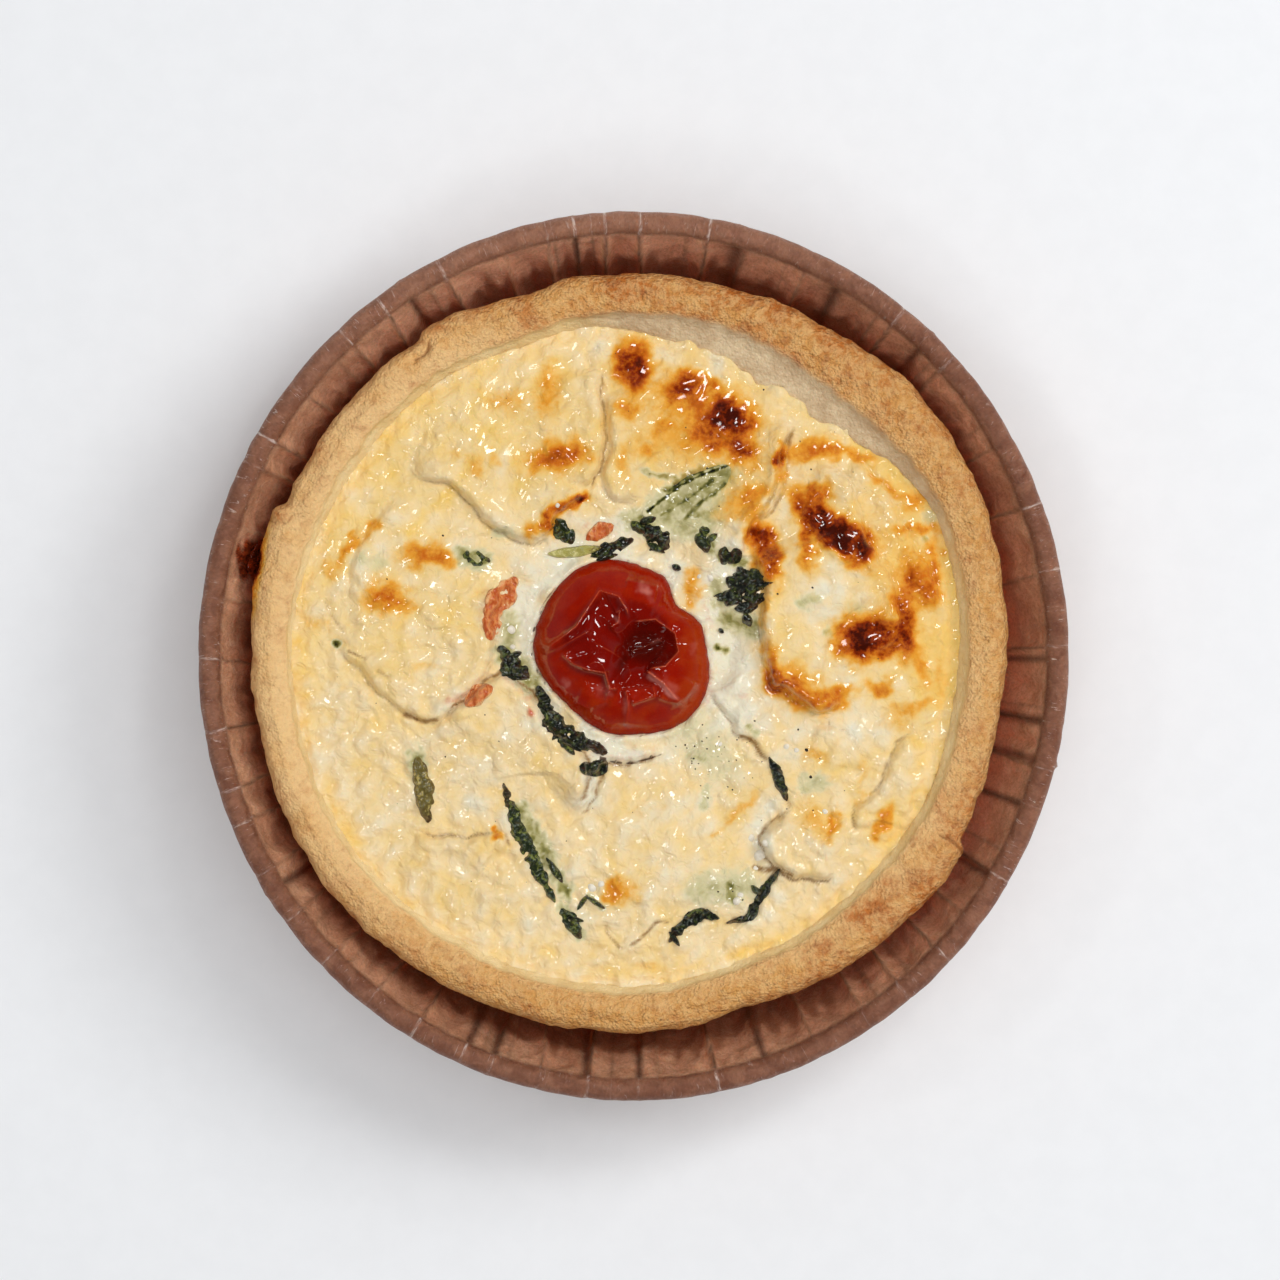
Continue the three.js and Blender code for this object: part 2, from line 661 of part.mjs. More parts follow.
// The tomato half, or with a margin the socket that it sits in
function tomatoBody(margin, topAt) {
  const place = (angle, radius, height) => [
    TOMATO_X + radius * Math.cos(angle),
    TOMATO_Y + radius * Math.sin(angle),
    height,
  ];
  const topPoint = (i, j) => {
    const [share, angle] = discPlace((2 * i) / TOMATO_CELLS - 1, (2 * j) / TOMATO_CELLS - 1);
    const radius = share * (tomatoOutline(angle) + margin);
    return place(angle, radius, topAt(radius * Math.cos(angle), radius * Math.sin(angle), share));
  };
  return mouldedSolid(TOMATO_CELLS, topPoint, [
    (angle) => place(angle, tomatoOutline(angle) + margin - 0.2, TOMATO_WAIST - 1.6),
    (angle) => place(angle, tomatoOutline(angle) + margin - 1.2, TOMATO_BOTTOM - margin),
  ]);
}

// A thin wavy sheet that follows the custard; both faces are split into triangles alike
function wavySheet(topping, seed) {
  const curve = new THREE.CatmullRomCurve3(topping.path.map(([x, y]) => new THREE.Vector3(x, y, 0)));
  const length = curve.getLength();
  const rows = Math.max(4, Math.round(length / LEAF_STEP));
  const columns = topping.half > WIDE_LEAF ? 4 : 2;
  const points = [];
  for (const lift of [0, LEAF_THICKNESS]) {
    for (let row = 0; row <= rows; row += 1) {
      const share = row / rows;
      const centre = curve.getPoint(share);
      const along = curve.getTangent(share);
      const fullness = Math.max(0, Math.sin(Math.PI * share)) ** 0.8;
      const width = topping.half * (LEAF_TIP_SHARE + (1 - LEAF_TIP_SHARE) * fullness);
      for (let column = 0; column <= columns; column += 1) {
        const across = ((2 * column) / columns - 1) * width;
        const x = centre.x - along.y * across;
        const y = centre.y + along.x * across;
        const wave = 0.5 + 0.5 * unevenness.noise(x / LEAF_STEP, y / LEAF_STEP, seed * 3.7);
        points.push([x, y, facetHeight(x, y) + LEAF_CLEARANCE + topping.crinkle * wave + lift]);
      }
    }
  }
  const layer = (rows + 1) * (columns + 1);
  const at = (row, column) => row * (columns + 1) + column;
  const faces = [];
  for (let row = 0; row < rows; row += 1) {
    for (let column = 0; column < columns; column += 1) {
      const [a, b] = [at(row, column), at(row + 1, column)];
      const [c, d] = [at(row + 1, column + 1), at(row, column + 1)];
      faces.push([layer + a, layer + b, layer + c], [layer + a, layer + c, layer + d]);
      faces.push([a, c, b], [a, d, c]);
    }
  }
  const edge = [];
  for (let row = 0; row < rows; row += 1) {
    edge.push(at(row, 0));
  }
  for (let column = 0; column < columns; column += 1) {
    edge.push(at(rows, column));
  }
  for (let row = rows; row > 0; row -= 1) {
    edge.push(at(row, columns));
  }
  for (let column = columns; column > 0; column -= 1) {
    edge.push(at(0, column));
  }
  edge.forEach((corner, k) => {
    const next = edge[(k + 1) % edge.length];
    faces.push([corner, next, layer + next], [corner, layer + next, layer + corner]);
  });
  return geometryFrom(points, faces);
}

const quiche = new THREE.Group();
quiche.name = "quiche";
quiche.add(namedMesh("paper_case", paperCase(), "#85543a", 0.45));
quiche.add(namedMesh("pastry_crust", pastryCrust(), "#c9935a", 0.75));
quiche.add(namedMesh("custard", custard(), "#e6c68f", 0.4));
quiche.add(namedMesh("tomato", tomatoBody(0, tomatoTop), "#86200a", 0.2));
TOPPINGS.forEach((topping, seed) => {
  quiche.add(namedMesh(topping.name, wavySheet(topping, seed + 1), topping.colour, 0.4));
});

export default quiche;
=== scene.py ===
import math

import bmesh
import bpy
import numpy as np
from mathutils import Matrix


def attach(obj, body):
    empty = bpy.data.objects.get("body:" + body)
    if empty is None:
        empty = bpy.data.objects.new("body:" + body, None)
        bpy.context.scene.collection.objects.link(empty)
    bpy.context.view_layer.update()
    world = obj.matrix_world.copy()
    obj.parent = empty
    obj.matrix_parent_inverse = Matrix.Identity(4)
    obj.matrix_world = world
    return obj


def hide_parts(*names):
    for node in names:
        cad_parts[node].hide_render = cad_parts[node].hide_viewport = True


MM = 0.001

# Paper case
CASE_RADIUS_X = 69.7
CASE_RADIUS_Y = 71.2
PAPER_THICKNESS = 0.6
CASE_COLUMNS = 960
FLUTE_DEPTH = 0.85
RIM_WAVE = 0.09
CASE_WALL_TOP = 31.0
RIM_FOOT = 29.5
RIM_ROLL_RADIUS = 1.45
RIM_ROLL_STEPS = 12
RIM_ROLL_START = 170
RIM_ROLL_END = -75
CASE_WALL = [[55.4, 0.3], [56.6, 1.3], [59.3, 8], [62.8, 17], [66.0, 26]]
CASE_CREASES = [
    1, 11, 21, 30, 43, 52, 61, 66, 75, 80, 89, 94, 98, 102, 108, 116, 126, 132, 141, 149, 153,
    162, 172, 181, 190, 198, 203, 210, 217, 225, 233, 240, 247, 251, 257, 264, 271, 281, 288,
    295, 303, 309, 316, 322, 329, 339, 345, 351,
]
# Wide pleats of the wall, sunk and darkened, partly a double layer of paper and partly painted
# shade: bearing, half width
DARK_PLEATS = [
    (75.7, 1.5), (61.0, 1.3), (47.0, 0.7), (328.4, 0.9), (339.0, 0.7), (345.5, 0.9), (351.0, 0.9),
    (359.6, 0.7), (247.0, 0.9), (250.7, 1.0), (263.3, 0.9), (270.8, 0.8), (288.0, 0.7),
    (122.0, 0.7), (213.0, 0.7), (98.0, 0.6),
]
PLEAT_ROUNDNESS = 0.6
DARK_PLEAT_DEPTH = 0.7
CREASE_DEPTH = 0.7
CREASE_HALF_WIDTH = 0.32
CREASE_LEAN = 0.05
CREASE_PIVOT = 22
# Thin second creases: turn from the pleat's own crease, how often they come, their strength
SECOND_CREASE_TURN = (1.6, 3.4)
SECOND_CREASE_CHANCE = 0.45
SECOND_CREASE_STRENGTH = 0.55
SECOND_CREASE_HALF_WIDTH = 0.35
WALL_MM_PER_DEGREE = 1.2
UNROLLED_RADIUS = 70
INNER_ROLL_STEPS = 7
STAIN_BEARING = 165.7
STAIN_RADIUS = 63.6
STAIN_HEIGHT = 22.4
# Half width of the stain in degrees, half height in millimetres
STAIN_SPREAD = (3.6, 2.6)
# Sides of the case: bearing of the middle, half width in degrees, strength
# These two sides are painted light: a paler colour is laid on the paper there
BRIGHT_SIDE = (100, 60, 0.6)
SUNLIT_SIDE = (342, 70, 1.5)
# On this side less of the grease and painted shade is laid low on the wall
DRY_SIDE = (352, 62, 0.9)
# The crinkled sides carry more of the pale rim marks, which are partly whitened paper and partly
# painted highlight
CRINKLED_SIDES = [(160, 60, 0.6), (350, 50, 0.5)]
BLOB_HALF_WIDTH = 3.1
BLOB_HALF_HEIGHT = 4.6
BLOB_THICKNESS = 0.55

# Pastry cup
CRUST_COLUMNS = 900
CRUST_BOTTOM = 0.95
CRUST_FLOOR = 4.5
CRUST_OUTSIDE = [[50.5, CRUST_BOTTOM], [52.8, 2.2], [55.2, 9], [57.4, 17], [58.9, 23.5]]
LIP_RADIUS = 61.0
LIP_CENTRE_X = -0.48
LIP_CENTRE_Y = 0.4
LIP_HEIGHT = 28.2
CRUST_TOP = 31.0
RIM_WIDTH = 6.1
INNER_SLOPE_WIDTH = 1.7
CUP_EDGE_HEIGHT = 26.4
CUP_WALL_HEIGHT = 21.5
CUP_WALL_INSET = 0.9
CUP_HEEL_HEIGHT = 6
CUP_FLOOR_RADIUS = 45.5
CUP_HEEL = 1.2
LIP_GRAIN_RADIUS = 60
# Points beside the lip: how far in, how far below and above it, and where the top begins
LIP_ROUNDING = 0.9
LIP_UNDERCUT = 2.2
LIP_BROW = 2.0
TOP_START = 2.6
# Middle of the top and of the inner slope: share of their width, and height
TOP_MIDDLE = 0.62
TOP_MIDDLE_RISE = 0.1
RIM_DROP = 0.6
SLOPE_MIDDLE = 0.72
SLOPE_MIDDLE_RISE = 2.4
WIDE_SLOPE_BEARING = 63
BURNT_BEARING = 167
GLAZED_BEARING = 60
# Bulges of an outline: bearing of the middle, half width in degrees, rise
LIP_SWELLS = [(38, 30, 1.3), (110, 14, -1.0), (288, 16, -1.1), (348, 24, -0.8), (218, 26, 0.6)]
RIM_SWELLS = [(47, 28, 2.2), (313, 28, 1.1), (190, 40, -0.4)]
SLOPE_SWELLS = [(WIDE_SLOPE_BEARING, 42, 5.2), (190, 50, -0.7)]
# Tanned and pale sides of the crust, in the same way; the pale side about bearing 130 is painted
# light where the crust lies in shade
TANNED_SIDES = [(75, 75, 0.55), (318, 44, 0.5)]
PALE_SIDES = [(190, 75, 0.75), (130, 40, 0.5), (330, 80, 0.35)]
# Laps of the lip and steps of its top: bearings of start, peak and end, rise at the peak
LIP_LAPS = [
    (132, 156, 157.5, -0.9), (156.5, 158, 178, 0.9), (104, 123, 124.2, 0.9),
    (303, 329.4, 330.6, 1.4),
]
TOP_STEPS = [(328.5, 330.5, 352, -0.5), (118, 120, 138, -0.5)]
# Cracks in the rim: half width, strength, path
RIM_CRACKS = [
    (0.35, 1.0, [[49.2, -28.8], [51.4, -29.9], [53.6, -32.6]]),
    (0.3, 0.8, [[-32.8, 50.6], [-33.2, 48.6], [-35.0, 47.4]]),
    (0.3, 0.7, [[-58.4, 21.8], [-55.8, 21.2], [-54.6, 22.6]]),
    (0.3, 0.5, [[-8.7, 54.2], [-5.4, 54.4], [-2.2, 54.0]]),
    (0.25, 0.5, [[40.0, -46.0], [36.4, -45.8], [33.0, -47.8]]),
]

# Custard
FIT_GAP = 0.35
CUSTARD_CELLS = 300
CUSTARD_HEIGHT = 27.3
CUSTARD_DOME = 0.7
CUSTARD_SPAN = 52
# How far the custard runs up the inner slope: all round, and more towards one bearing
BOND = 0.6
BOND_BELOW = 1.3
BOND_BELOW_BEARING = 225
MARGIN_GRAIN_RADIUS = 50
CURD_LENGTH = 3.8
CURD_HEIGHT = 0.9
SMALL_CURD_LENGTH = 1.9
SMALL_CURD_HEIGHT = 0.3
BROWNED_RISE = 0.25
BROWNED_SPREAD = 1.1

# Tomato half
TOMATO_X = -2.3
TOMATO_Y = 1.0
TOMATO_RADIUS = 13.9
TOMATO_CELLS = 150
TOMATO_WAIST = 27.2
TOMATO_RISE = 5.6
TOMATO_BOTTOM = 24.2
TOMATO_DENT = 3.4
# The dome: how flat its middle is and how round its shoulder
DOME_FLATNESS = 3.2
DOME_ROUNDNESS = 0.6
# How sharply the dent and the places of painted shade end
DENT_STEEPNESS = 1.3
DARK_DENT_STEEPNESS = 1.4
DEEP_RED_STEEPNESS = 3
# Folds of the skin: width of the ridge and of the painted highlight along it, reach on the
# raised and on the lower side, and the rise of a full fold
FOLD_RIDGE_WIDTH = 0.3
FOLD_LINE_WIDTH = 0.2
FOLD_RAISED_REACH = 2.6
FOLD_LOW_REACH = 1.0
FULL_FOLD_RISE = 0.6
TOMATO_SWELLS = [(38, 24, -2.1), (322, 50, 2.0), (226, 50, -1.6), (110, 45, 0.9)]
HOLLOW_ROUND_TOMATO = 0.9
HOLLOW_REACH = 5
# Where the custard beside the tomato is charred: bearing round the tomato, half width, strength
CHARRED_SIDES = [(175, 100, 1.0), (285, 50, 0.7)]

# Broad swellings of the custard: x, y, half length, half width, height
SWELLINGS = [
    (-21.4, 36.2, 15.2, 12.0, 1.3),
    (9.0, 39.4, 13.6, 10.4, 1.2),
    (31.0, 11.6, 12.5, 18.0, 2.1),
    (-39.8, 7.4, 12.8, 16.0, 1.2),
    (-19.8, -16.6, 12.0, 10.4, 1.4),
    (2.6, -31.0, 15.4, 12.2, 1.4),
    (28.6, -29.0, 9.0, 6.4, 1.3),
    (-24.6, -37.4, 12.8, 8.0, 0.8),
    (32.0, -16.0, 9.0, 7.0, 0.7),
]

# Plates of the custard that set smooth, with few curds: x, y, half length, half width
SMOOTH_PLATES = [(-18.5, -16.5, 12, 9), (5.0, -28.0, 15, 11), (30, -16, 10, 8)]

# Edges of the custard plates; the left side of each path stands higher.
# Rise, reach of the raised side, darkness of the seam (brown custard and painted shade), path
PLATE_EDGES = {
    "upper_crease": (1.3, 7, 0.85, [
        [-7.8, 26.5], [-6.8, 28.4], [-5.4, 30.2], [-5.0, 32.6], [-5.0, 37.8], [-5.4, 41.0],
        [-5.7, 46.6],
    ]),
    "north_west_flap": (1.5, 9, 0.6, [
        [-35.8, 28.5], [-34.5, 28.8], [-30.3, 27.9], [-26.6, 25.1], [-23.3, 21.3],
        [-19.1, 19.0], [-16.7, 18.5], [-13.4, 19.7], [-12.5, 22.7], [-9.7, 24.2], [-7.0, 27.2],
    ]),
    "north_plate": (1.0, 7, 0.4, [
        [-4.7, 42.6], [-3.9, 37.8], [-3.6, 33.1], [-4.6, 30.7], [-5.0, 28.4], [-2.6, 25.1],
        [2, 25.4],
    ]),
    "north_flap": (1.7, 6, 0.9, [
        [18.7, 15.7], [18.0, 18.1], [19.0, 20.9], [21.8, 23.2], [23.2, 25.6], [24.1, 29.3],
        [24.1, 32.1], [25.5, 37.8],
    ]),
    "east_plate": (2.1, 11, 0.6, [
        [18.7, 17.1], [19.7, 14.3], [21.0, 11.5], [20.6, 7.7], [20.8, 4.0], [21.3, 0.2],
        [22.2, -4.5], [25.0, -5.9], [28.4, -8.7], [30.6, -8.9], [34.4, -7.3],
    ]),
    "east_ridge": (1.4, 7, 0.4, [
        [42.6, 3.4], [42.8, 7.4], [41.8, 11.4], [39.4, 15.4], [37.8, 18.6], [35.9, 24.2],
        [34.6, 28.2], [29.7, 31.6],
    ]),
    "outer_ridge": (0.8, 4, 0.4, [
        [49.8, 7.0], [47.4, 13.8], [43.1, 20.5], [42.5, 21.8], [41.5, 25.0], [37.8, 29.8],
        [34.6, 32.2],
    ]),
    "south_east_seam": (0.8, 6, 0.55, [
        [12.1, -5.0], [15.1, -9.4], [16.6, -12.6], [18.6, -13.1], [20.6, -15.8], [22.0, -17.1],
    ]),
    "south_east_lobe": (1.4, 8, 0.85, [
        [24.6, -24.8], [21.3, -28.1], [20.7, -29.6], [21.3, -31.8], [23.1, -33.9],
        [25.0, -35.4], [30.5, -35.7], [33.0, -35.0],
    ]),
    "east_crease": (0.9, 6, 0.6, [
        [45.8, -12.3], [42.6, -14.5], [40.8, -18.5], [39.3, -21.8], [36.0, -24.4],
        [35.6, -26.6], [36.4, -28.8],
    ]),
    "small_flap": (0.6, 4, 0.4, [
        [38.9, -17.4], [37.1, -16.3], [34.9, -13.8], [32.7, -11.9], [29, -10.9],
    ]),
    "south_west_plate": (1.6, 9, 0.9, [
        [-11.1, -24.4], [-7.9, -21.6], [-7.3, -17.6], [-9.7, -14.3], [-13.9, -11.0],
        [-15.3, -7.3], [-18.6, -4.5], [-20.9, -2.6], [-21.9, -3.1], [-25.6, -5.9],
        [-28.4, -8.3], [-31, -11.4],
    ]),
    "south_plate": (1.1, 7, 0.75, [
        [-9.6, -25.6], [-6.9, -23.0], [-5.9, -20.0], [-4.6, -17.2], [1.0, -16.9], [5.4, -15.4],
    ]),
    "west_plate": (1.1, 8, 0.45, [
        [-48.6, 2.6], [-44, -2.2], [-39.3, -7.0], [-34.5, -10.1], [-31.3, -10.6],
        [-28.4, -7.3], [-25.7, -5.4], [-22.9, -0.6], [-22.6, 3.4], [-21.8, 9.0], [-19.0, 12.6],
    ]),
    "low_wrinkle": (1.1, 6, 0.7, [
        [-19.8, -31.6], [-21.4, -28.8], [-24.6, -29.1], [-29.4, -29.4], [-35.4, -28.4],
    ]),
    "west_fold": (0.5, 4, 0.1, [
        [-37.4, 26.6], [-41, 22], [-43.8, 17.8], [-45.4, 13.0], [-45.6, 8.0],
    ]),
}

# Open cracks and dimples: depth, half width, darkness (brown and painted shade), path
CRACKS = {
    "south_groove": (0.9, 1.0, 0.2, [[-6.4, -18], [-7, -23], [-11.8, -26.8]]),
    "flap_crevice": (1.0, 0.5, 1.0, [
        [25.4, 36.0], [24.0, 33.0], [23.6, 30.6], [22.8, 27.4], [21.8, 24.8], [19.6, 21.8],
        [18.4, 18.6],
    ]),
    "leaf_crack_east": (1.0, 0.7, 0.7, [
        [23.1, -34.3], [20.2, -39.1], [18.4, -42.0], [15.1, -42.8],
    ]),
    "leaf_crack_west": (0.8, 0.8, 0.5, [
        [13.6, -42.4], [11.8, -42.0], [8.8, -42.8], [7.0, -43.8], [5.8, -45.7],
    ]),
    "hair_crack": (0.35, 0.35, 0.8, [
        [6.2, -43.0], [4.0, -42.6], [2.6, -43.8], [0.7, -45.7], [-1.1, -46.8],
    ]),
    "hair_branch": (0.3, 0.35, 0.6, [[-1.1, -46.8], [-2.2, -46.8], [-4.1, -44.6], [-4.4, -42.8]]),
    "bubble_notch": (0.9, 1.5, 0.0, [[23.6, -24.6], [19.4, -28.2], [20.4, -33.6]]),
    "lobe_foot": (0.6, 0.5, 1.0, [[18.7, -33.6], [20.9, -34.4], [23.1, -34.3], [26, -35.5]]),
    "seam_crack": (0.5, 0.4, 0.9, [[16.6, -12.6], [18.8, -13.4], [20.4, -15.4], [21.6, -17.0]]),
    "slit_foot": (0.5, 0.5, 0.6, [[24.2, -21.8], [24.9, -24.4], [22.6, -26.6]]),
    "west_crack_upper": (0.35, 0.35, 0.55, [[-49.8, 9.3], [-47.8, 5.3], [-46.5, 4.0]]),
    "west_crack_middle": (0.35, 0.35, 0.7, [[-46.2, 1.1], [-42.6, -0.6]]),
    "west_crack_lower": (0.4, 0.4, 0.6, [[-41.4, -2.2], [-39.0, -3.5]]),
    "olive_crack": (0.5, 0.5, 0.9, [[-37.4, -9.1], [-34.2, -10.4], [-31.0, -10.2]]),
    "south_east_dimple": (0.45, 1.3, 0.0, [[13.4, -27.8], [17.0, -25.0], [21.4, -22.2]]),
    "browned_dimple": (0.4, 0.5, 0.5, [
        [31.2, -25.9], [32.7, -26.2], [31.9, -28.1], [29.7, -31.0],
    ]),
    "north_rim_crack": (0.5, 0.6, 0.4, [[-5.4, 50.0], [-7.4, 48.2], [-6.6, 46.2]]),
    "cream_valley": (0.7, 2.2, 0.0, [[11.8, -5.6], [14.0, -1.8], [16.4, 2.6], [17.6, 6.2]]),
    "low_wrinkle_west": (0.4, 0.8, 0.15, [[-31.0, -31.0], [-26.2, -35.2], [-21.4, -36.6]]),
    "low_wrinkle_east": (0.4, 0.8, 0.15, [[-21.4, -30.6], [-18.8, -34.2], [-15.2, -40.8]]),
    "pointed_leaf_side": (0.4, 0.7, 0.1, [[-37.4, -16.6], [-35.6, -21.4], [-35.4, -26.2]]),
    "flap_ridge_foot": (0.4, 0.6, 0.3, [[-33.4, 36.2], [-35.6, 31.4], [-35.8, 28.5]]),
}

# Blistered ridges that catch the light: height, half width, path
SHINY_RIDGES = [
    (0.6, 0.8, [[27.4, 23.9], [30.0, 20.2], [32.6, 16.2], [35.4, 15.4]]),
    (0.45, 0.9, [[14.4, 35.0], [15.6, 36.4], [17.0, 36.2]]),
    (0.45, 0.8, [[38.2, 1.2], [40.8, 2.2], [43.4, 5.4]]),
    (0.5, 0.7, [[21.0, 21.6], [20.4, 18.0], [19.6, 15.6]]),
    (0.45, 0.8, [[-14.6, 33.0], [-11.6, 32.6], [-9.4, 30.4]]),
    (0.45, 0.7, [[23.0, -3.2], [26.6, -5.8], [29.6, -7.2]]),
]

# Browned spots: x, y, half length, half width, turn in degrees, strength
BROWNED_SPOTS = [
    (-0.2, 47.4, 3.0, 3.6, 0, 0.8), (0.4, 44.8, 2.2, 1.4, 0, 0.4),
    (8.4, 42.9, 2.8, 2.8, 0, 0.7), (12.5, 43.8, 2.4, 1.0, -20, 0.4),
    (15.2, 38.2, 3.4, 2.7, -6, 1.0), (14.6, 37.6, 5.4, 4.4, 0, 0.22),
    (17.6, 33.2, 2.6, 2.2, -35, 0.62), (12.4, 35.0, 2.6, 1.9, 0, 0.46),
    (-13.7, 43.0, 2.1, 4.4, 0, 0.36), (-21.4, 41.0, 4.0, 2.2, 0, 0.25),
    (-12.6, 31.8, 4.9, 2.5, 10, 0.56), (-9.6, 33.2, 2.0, 1.6, 0, 0.3),
    (-0.9, 39.7, 2.1, 1.4, 0, 0.36), (1.8, 33.1, 1.6, 1.4, 0, 0.32),
    (-1.6, 31.0, 1.2, 3.2, 0, 0.24), (4.7, 36.8, 1.4, 1.3, 0, 0.26),
    (-28.6, 33.0, 2.2, 1.5, 20, 0.25), (-25.2, 30.4, 1.2, 2.3, 15, 0.28),
    (-22.6, 31.6, 1.0, 1.9, 10, 0.24), (-8.5, 25.6, 1.2, 0.9, 20, 1.0),
    (-11.0, 24.0, 3.4, 1.1, 30, 0.66), (-14.6, 20.6, 3.0, 1.5, 8, 0.5),
    (-13.4, 21.6, 1.0, 2.0, 0, 0.5), (-33.6, 16.4, 3.3, 2.1, 5, 0.56),
    (-30.2, 15.6, 1.4, 1.2, 0, 0.4), (-40.4, 9.4, 2.8, 2.6, 0, 0.52),
    (-36.6, 8.4, 2.2, 1.6, 0, 0.3), (-45.8, 17.4, 0.9, 3.4, -25, 0.44),
    (-42.2, 20.2, 2.3, 0.9, 55, 0.42), (-50.8, 5.4, 2.2, 1.6, 0, 0.22),
    (30.8, 33.6, 3.2, 1.8, -12, 0.5), (36.6, 32.4, 3.4, 1.1, -16, 0.46),
    (27.0, 32.2, 3.2, 1.2, 8, 0.36), (18.6, 25.2, 3.2, 2.4, 32, 0.44),
    (15.0, 22.8, 2.0, 1.6, 0, 0.24), (9.5, 10.6, 1.7, 3.4, 0, 0.42),
    (29.5, 26.4, 1.9, 1.6, 0, 0.52), (27.6, 18.6, 1.8, 5.4, 6, 0.66),
    (31.6, 20.2, 6.4, 2.0, -45, 0.98), (33.4, 19.8, 4.4, 2.2, -28, 0.72),
    (35.7, 17.4, 2.6, 2.2, 0, 0.76), (20.9, 18.2, 2.2, 3.8, 24, 0.95),
    (22.0, 13.6, 2.0, 3.0, 10, 0.52), (21.0, 7.0, 0.8, 3.4, 0, 0.34),
    (36.2, 2.8, 3.8, 3.4, 0, 0.98), (40.6, 2.9, 3.6, 2.5, 5, 0.8),
    (43.4, 7.0, 1.7, 5.0, 0, 0.66), (44.0, 1.8, 1.2, 2.8, -8, 0.6),
    (22.2, -1.2, 1.2, 4.2, 4, 0.5), (23.4, -4.4, 2.4, 1.8, -30, 0.66),
    (28.2, -6.6, 4.0, 2.2, -22, 0.6), (33.0, -6.6, 3.0, 1.6, 26, 0.44),
    (26.6, -2.6, 3.4, 1.8, -24, 0.3), (39.6, -5.3, 2.0, 1.5, 0, 0.52),
    (45.2, 12.6, 1.8, 3.2, 12, 0.52), (48.6, 15.6, 1.2, 4.6, -4, 0.4),
    (48.0, 10.2, 1.6, 2.2, 0, 0.42), (45.2, 20.4, 3.8, 0.8, 0, 0.36),
    (40.4, 27.6, 3.8, 0.9, -34, 0.36), (45.2, 25.0, 2.0, 1.6, -30, 0.28),
    (46.2, -1.8, 1.4, 3.6, 20, 0.32), (49.6, -3.0, 1.0, 3.6, 0, 0.26),
    (45.6, -8.2, 4.0, 1.0, 10, 0.26), (-1.6, -37.8, 2.5, 2.4, 0, 0.36),
    (-3.4, -37.6, 1.2, 1.6, 0, 0.36), (17.4, -24.6, 4.6, 0.8, 42, 0.3),
    (13.0, -28.4, 1.0, 0.7, 0, 0.26), (29.2, -15.8, 2.2, 1.6, 0, 0.28),
    (29.0, -26.4, 2.6, 3.2, 20, 0.22), (32.3, -27.2, 0.9, 2.6, -14, 0.42),
    (36.6, -18.8, 0.9, 2.6, -10, 0.24), (40.4, -26.4, 1.2, 3.4, -18, 0.44),
    (38.6, -28.6, 1.0, 2.0, -10, 0.34), (36.8, -23.2, 1.4, 1.4, 0, 0.24),
    (3.0, -50.0, 3.0, 1.2, 0, 0.22), (-21.8, -28.8, 1.1, 0.8, 30, 0.6),
    (-20.4, -22.4, 1.4, 1.8, 0, 0.2), (-48.8, 14.2, 1.0, 2.2, 0, 0.26),
    (14, 35, 10, 9, 0, 0.24), (44.6, 14, 6, 15, 10, 0.2), (31, 26, 9, 6, -40, 0.15),
    (4, 40, 8, 8, 0, 0.22), (38, 5, 9, 9, 0, 0.1), (-40, 10, 9, 10, 0, 0.08),
    (-14, 38, 9, 10, 0, 0.1), (28, -26, 8, 6, 0, 0.07),
    (2.0, -24.6, 3.6, 1.0, 4, 0.16), (-33.6, -1.8, 3.4, 1.2, 10, 0.18),
    (42.6, -10.4, 3.2, 2.2, 20, 0.24), (23.6, 31.6, 0.8, 2.0, 0, 0.85),
]

# Yellow and milky parts of the custard: x, y, half length, half width, change of yellowness
YELLOW_PARTS = [
    (-30, 36, 20, 12, 0.1), (-14, 36, 9, 12, 0.1), (8, 34, 9, 9, 0.25), (-50, 18, 5, 12, 0.1),
    (-54, 2, 3, 10, 0.1), (-34, 6, 9, 7, 0.15), (46, 18, 6, 12, 0.5), (48, -8, 5, 14, 0.3),
    (28, -26, 5, 5, 0.15), (40, -27, 3, 6, 0.2), (17.4, -25, 4, 3, 0.35), (16, -35, 4, 2, 0.2),
    (24, 8, 4, 10, 0.2), (-8, -38, 12, 10, -0.12), (29, 7.6, 6, 5, -0.3), (33, 12, 5, 5, -0.2),
    (25, 27, 5, 4, -0.3), (-2, 21, 6, 2.2, -0.5), (-14, 15.4, 6, 3, -0.35), (-18, 6, 3, 7, -0.35),
    (14.5, 15, 4, 6, -0.35), (15, 1, 4, 8, -0.5), (17.4, -8, 4.4, 6, -0.45), (12, -13, 4, 4, -0.2),
    (20, -29, 2.4, 5.6, -0.55), (22, -24, 3.0, 1.8, -0.4), (13, -38, 5, 3, -0.25),
    (-7, -20, 1.4, 4, -0.45), (-4, -16, 6, 1.4, -0.5), (38, -12, 5, 2.4, -0.35),
    (8, 23, 7, 4, -0.25), (-27, -6.5, 4, 1.6, -0.4), (-43, 12, 3, 2.4, -0.3), (2, -26, 9, 5, -0.1),
    (-24, -20, 6, 5, -0.12), (8, 50, 22, 3, -0.1), (27, -12, 5, 3, -0.2), (40, 41, 9, 4, -0.2),
    (25, -36, 12, 9, -0.14), (-34, 36, 8, 6, 0.08),
]

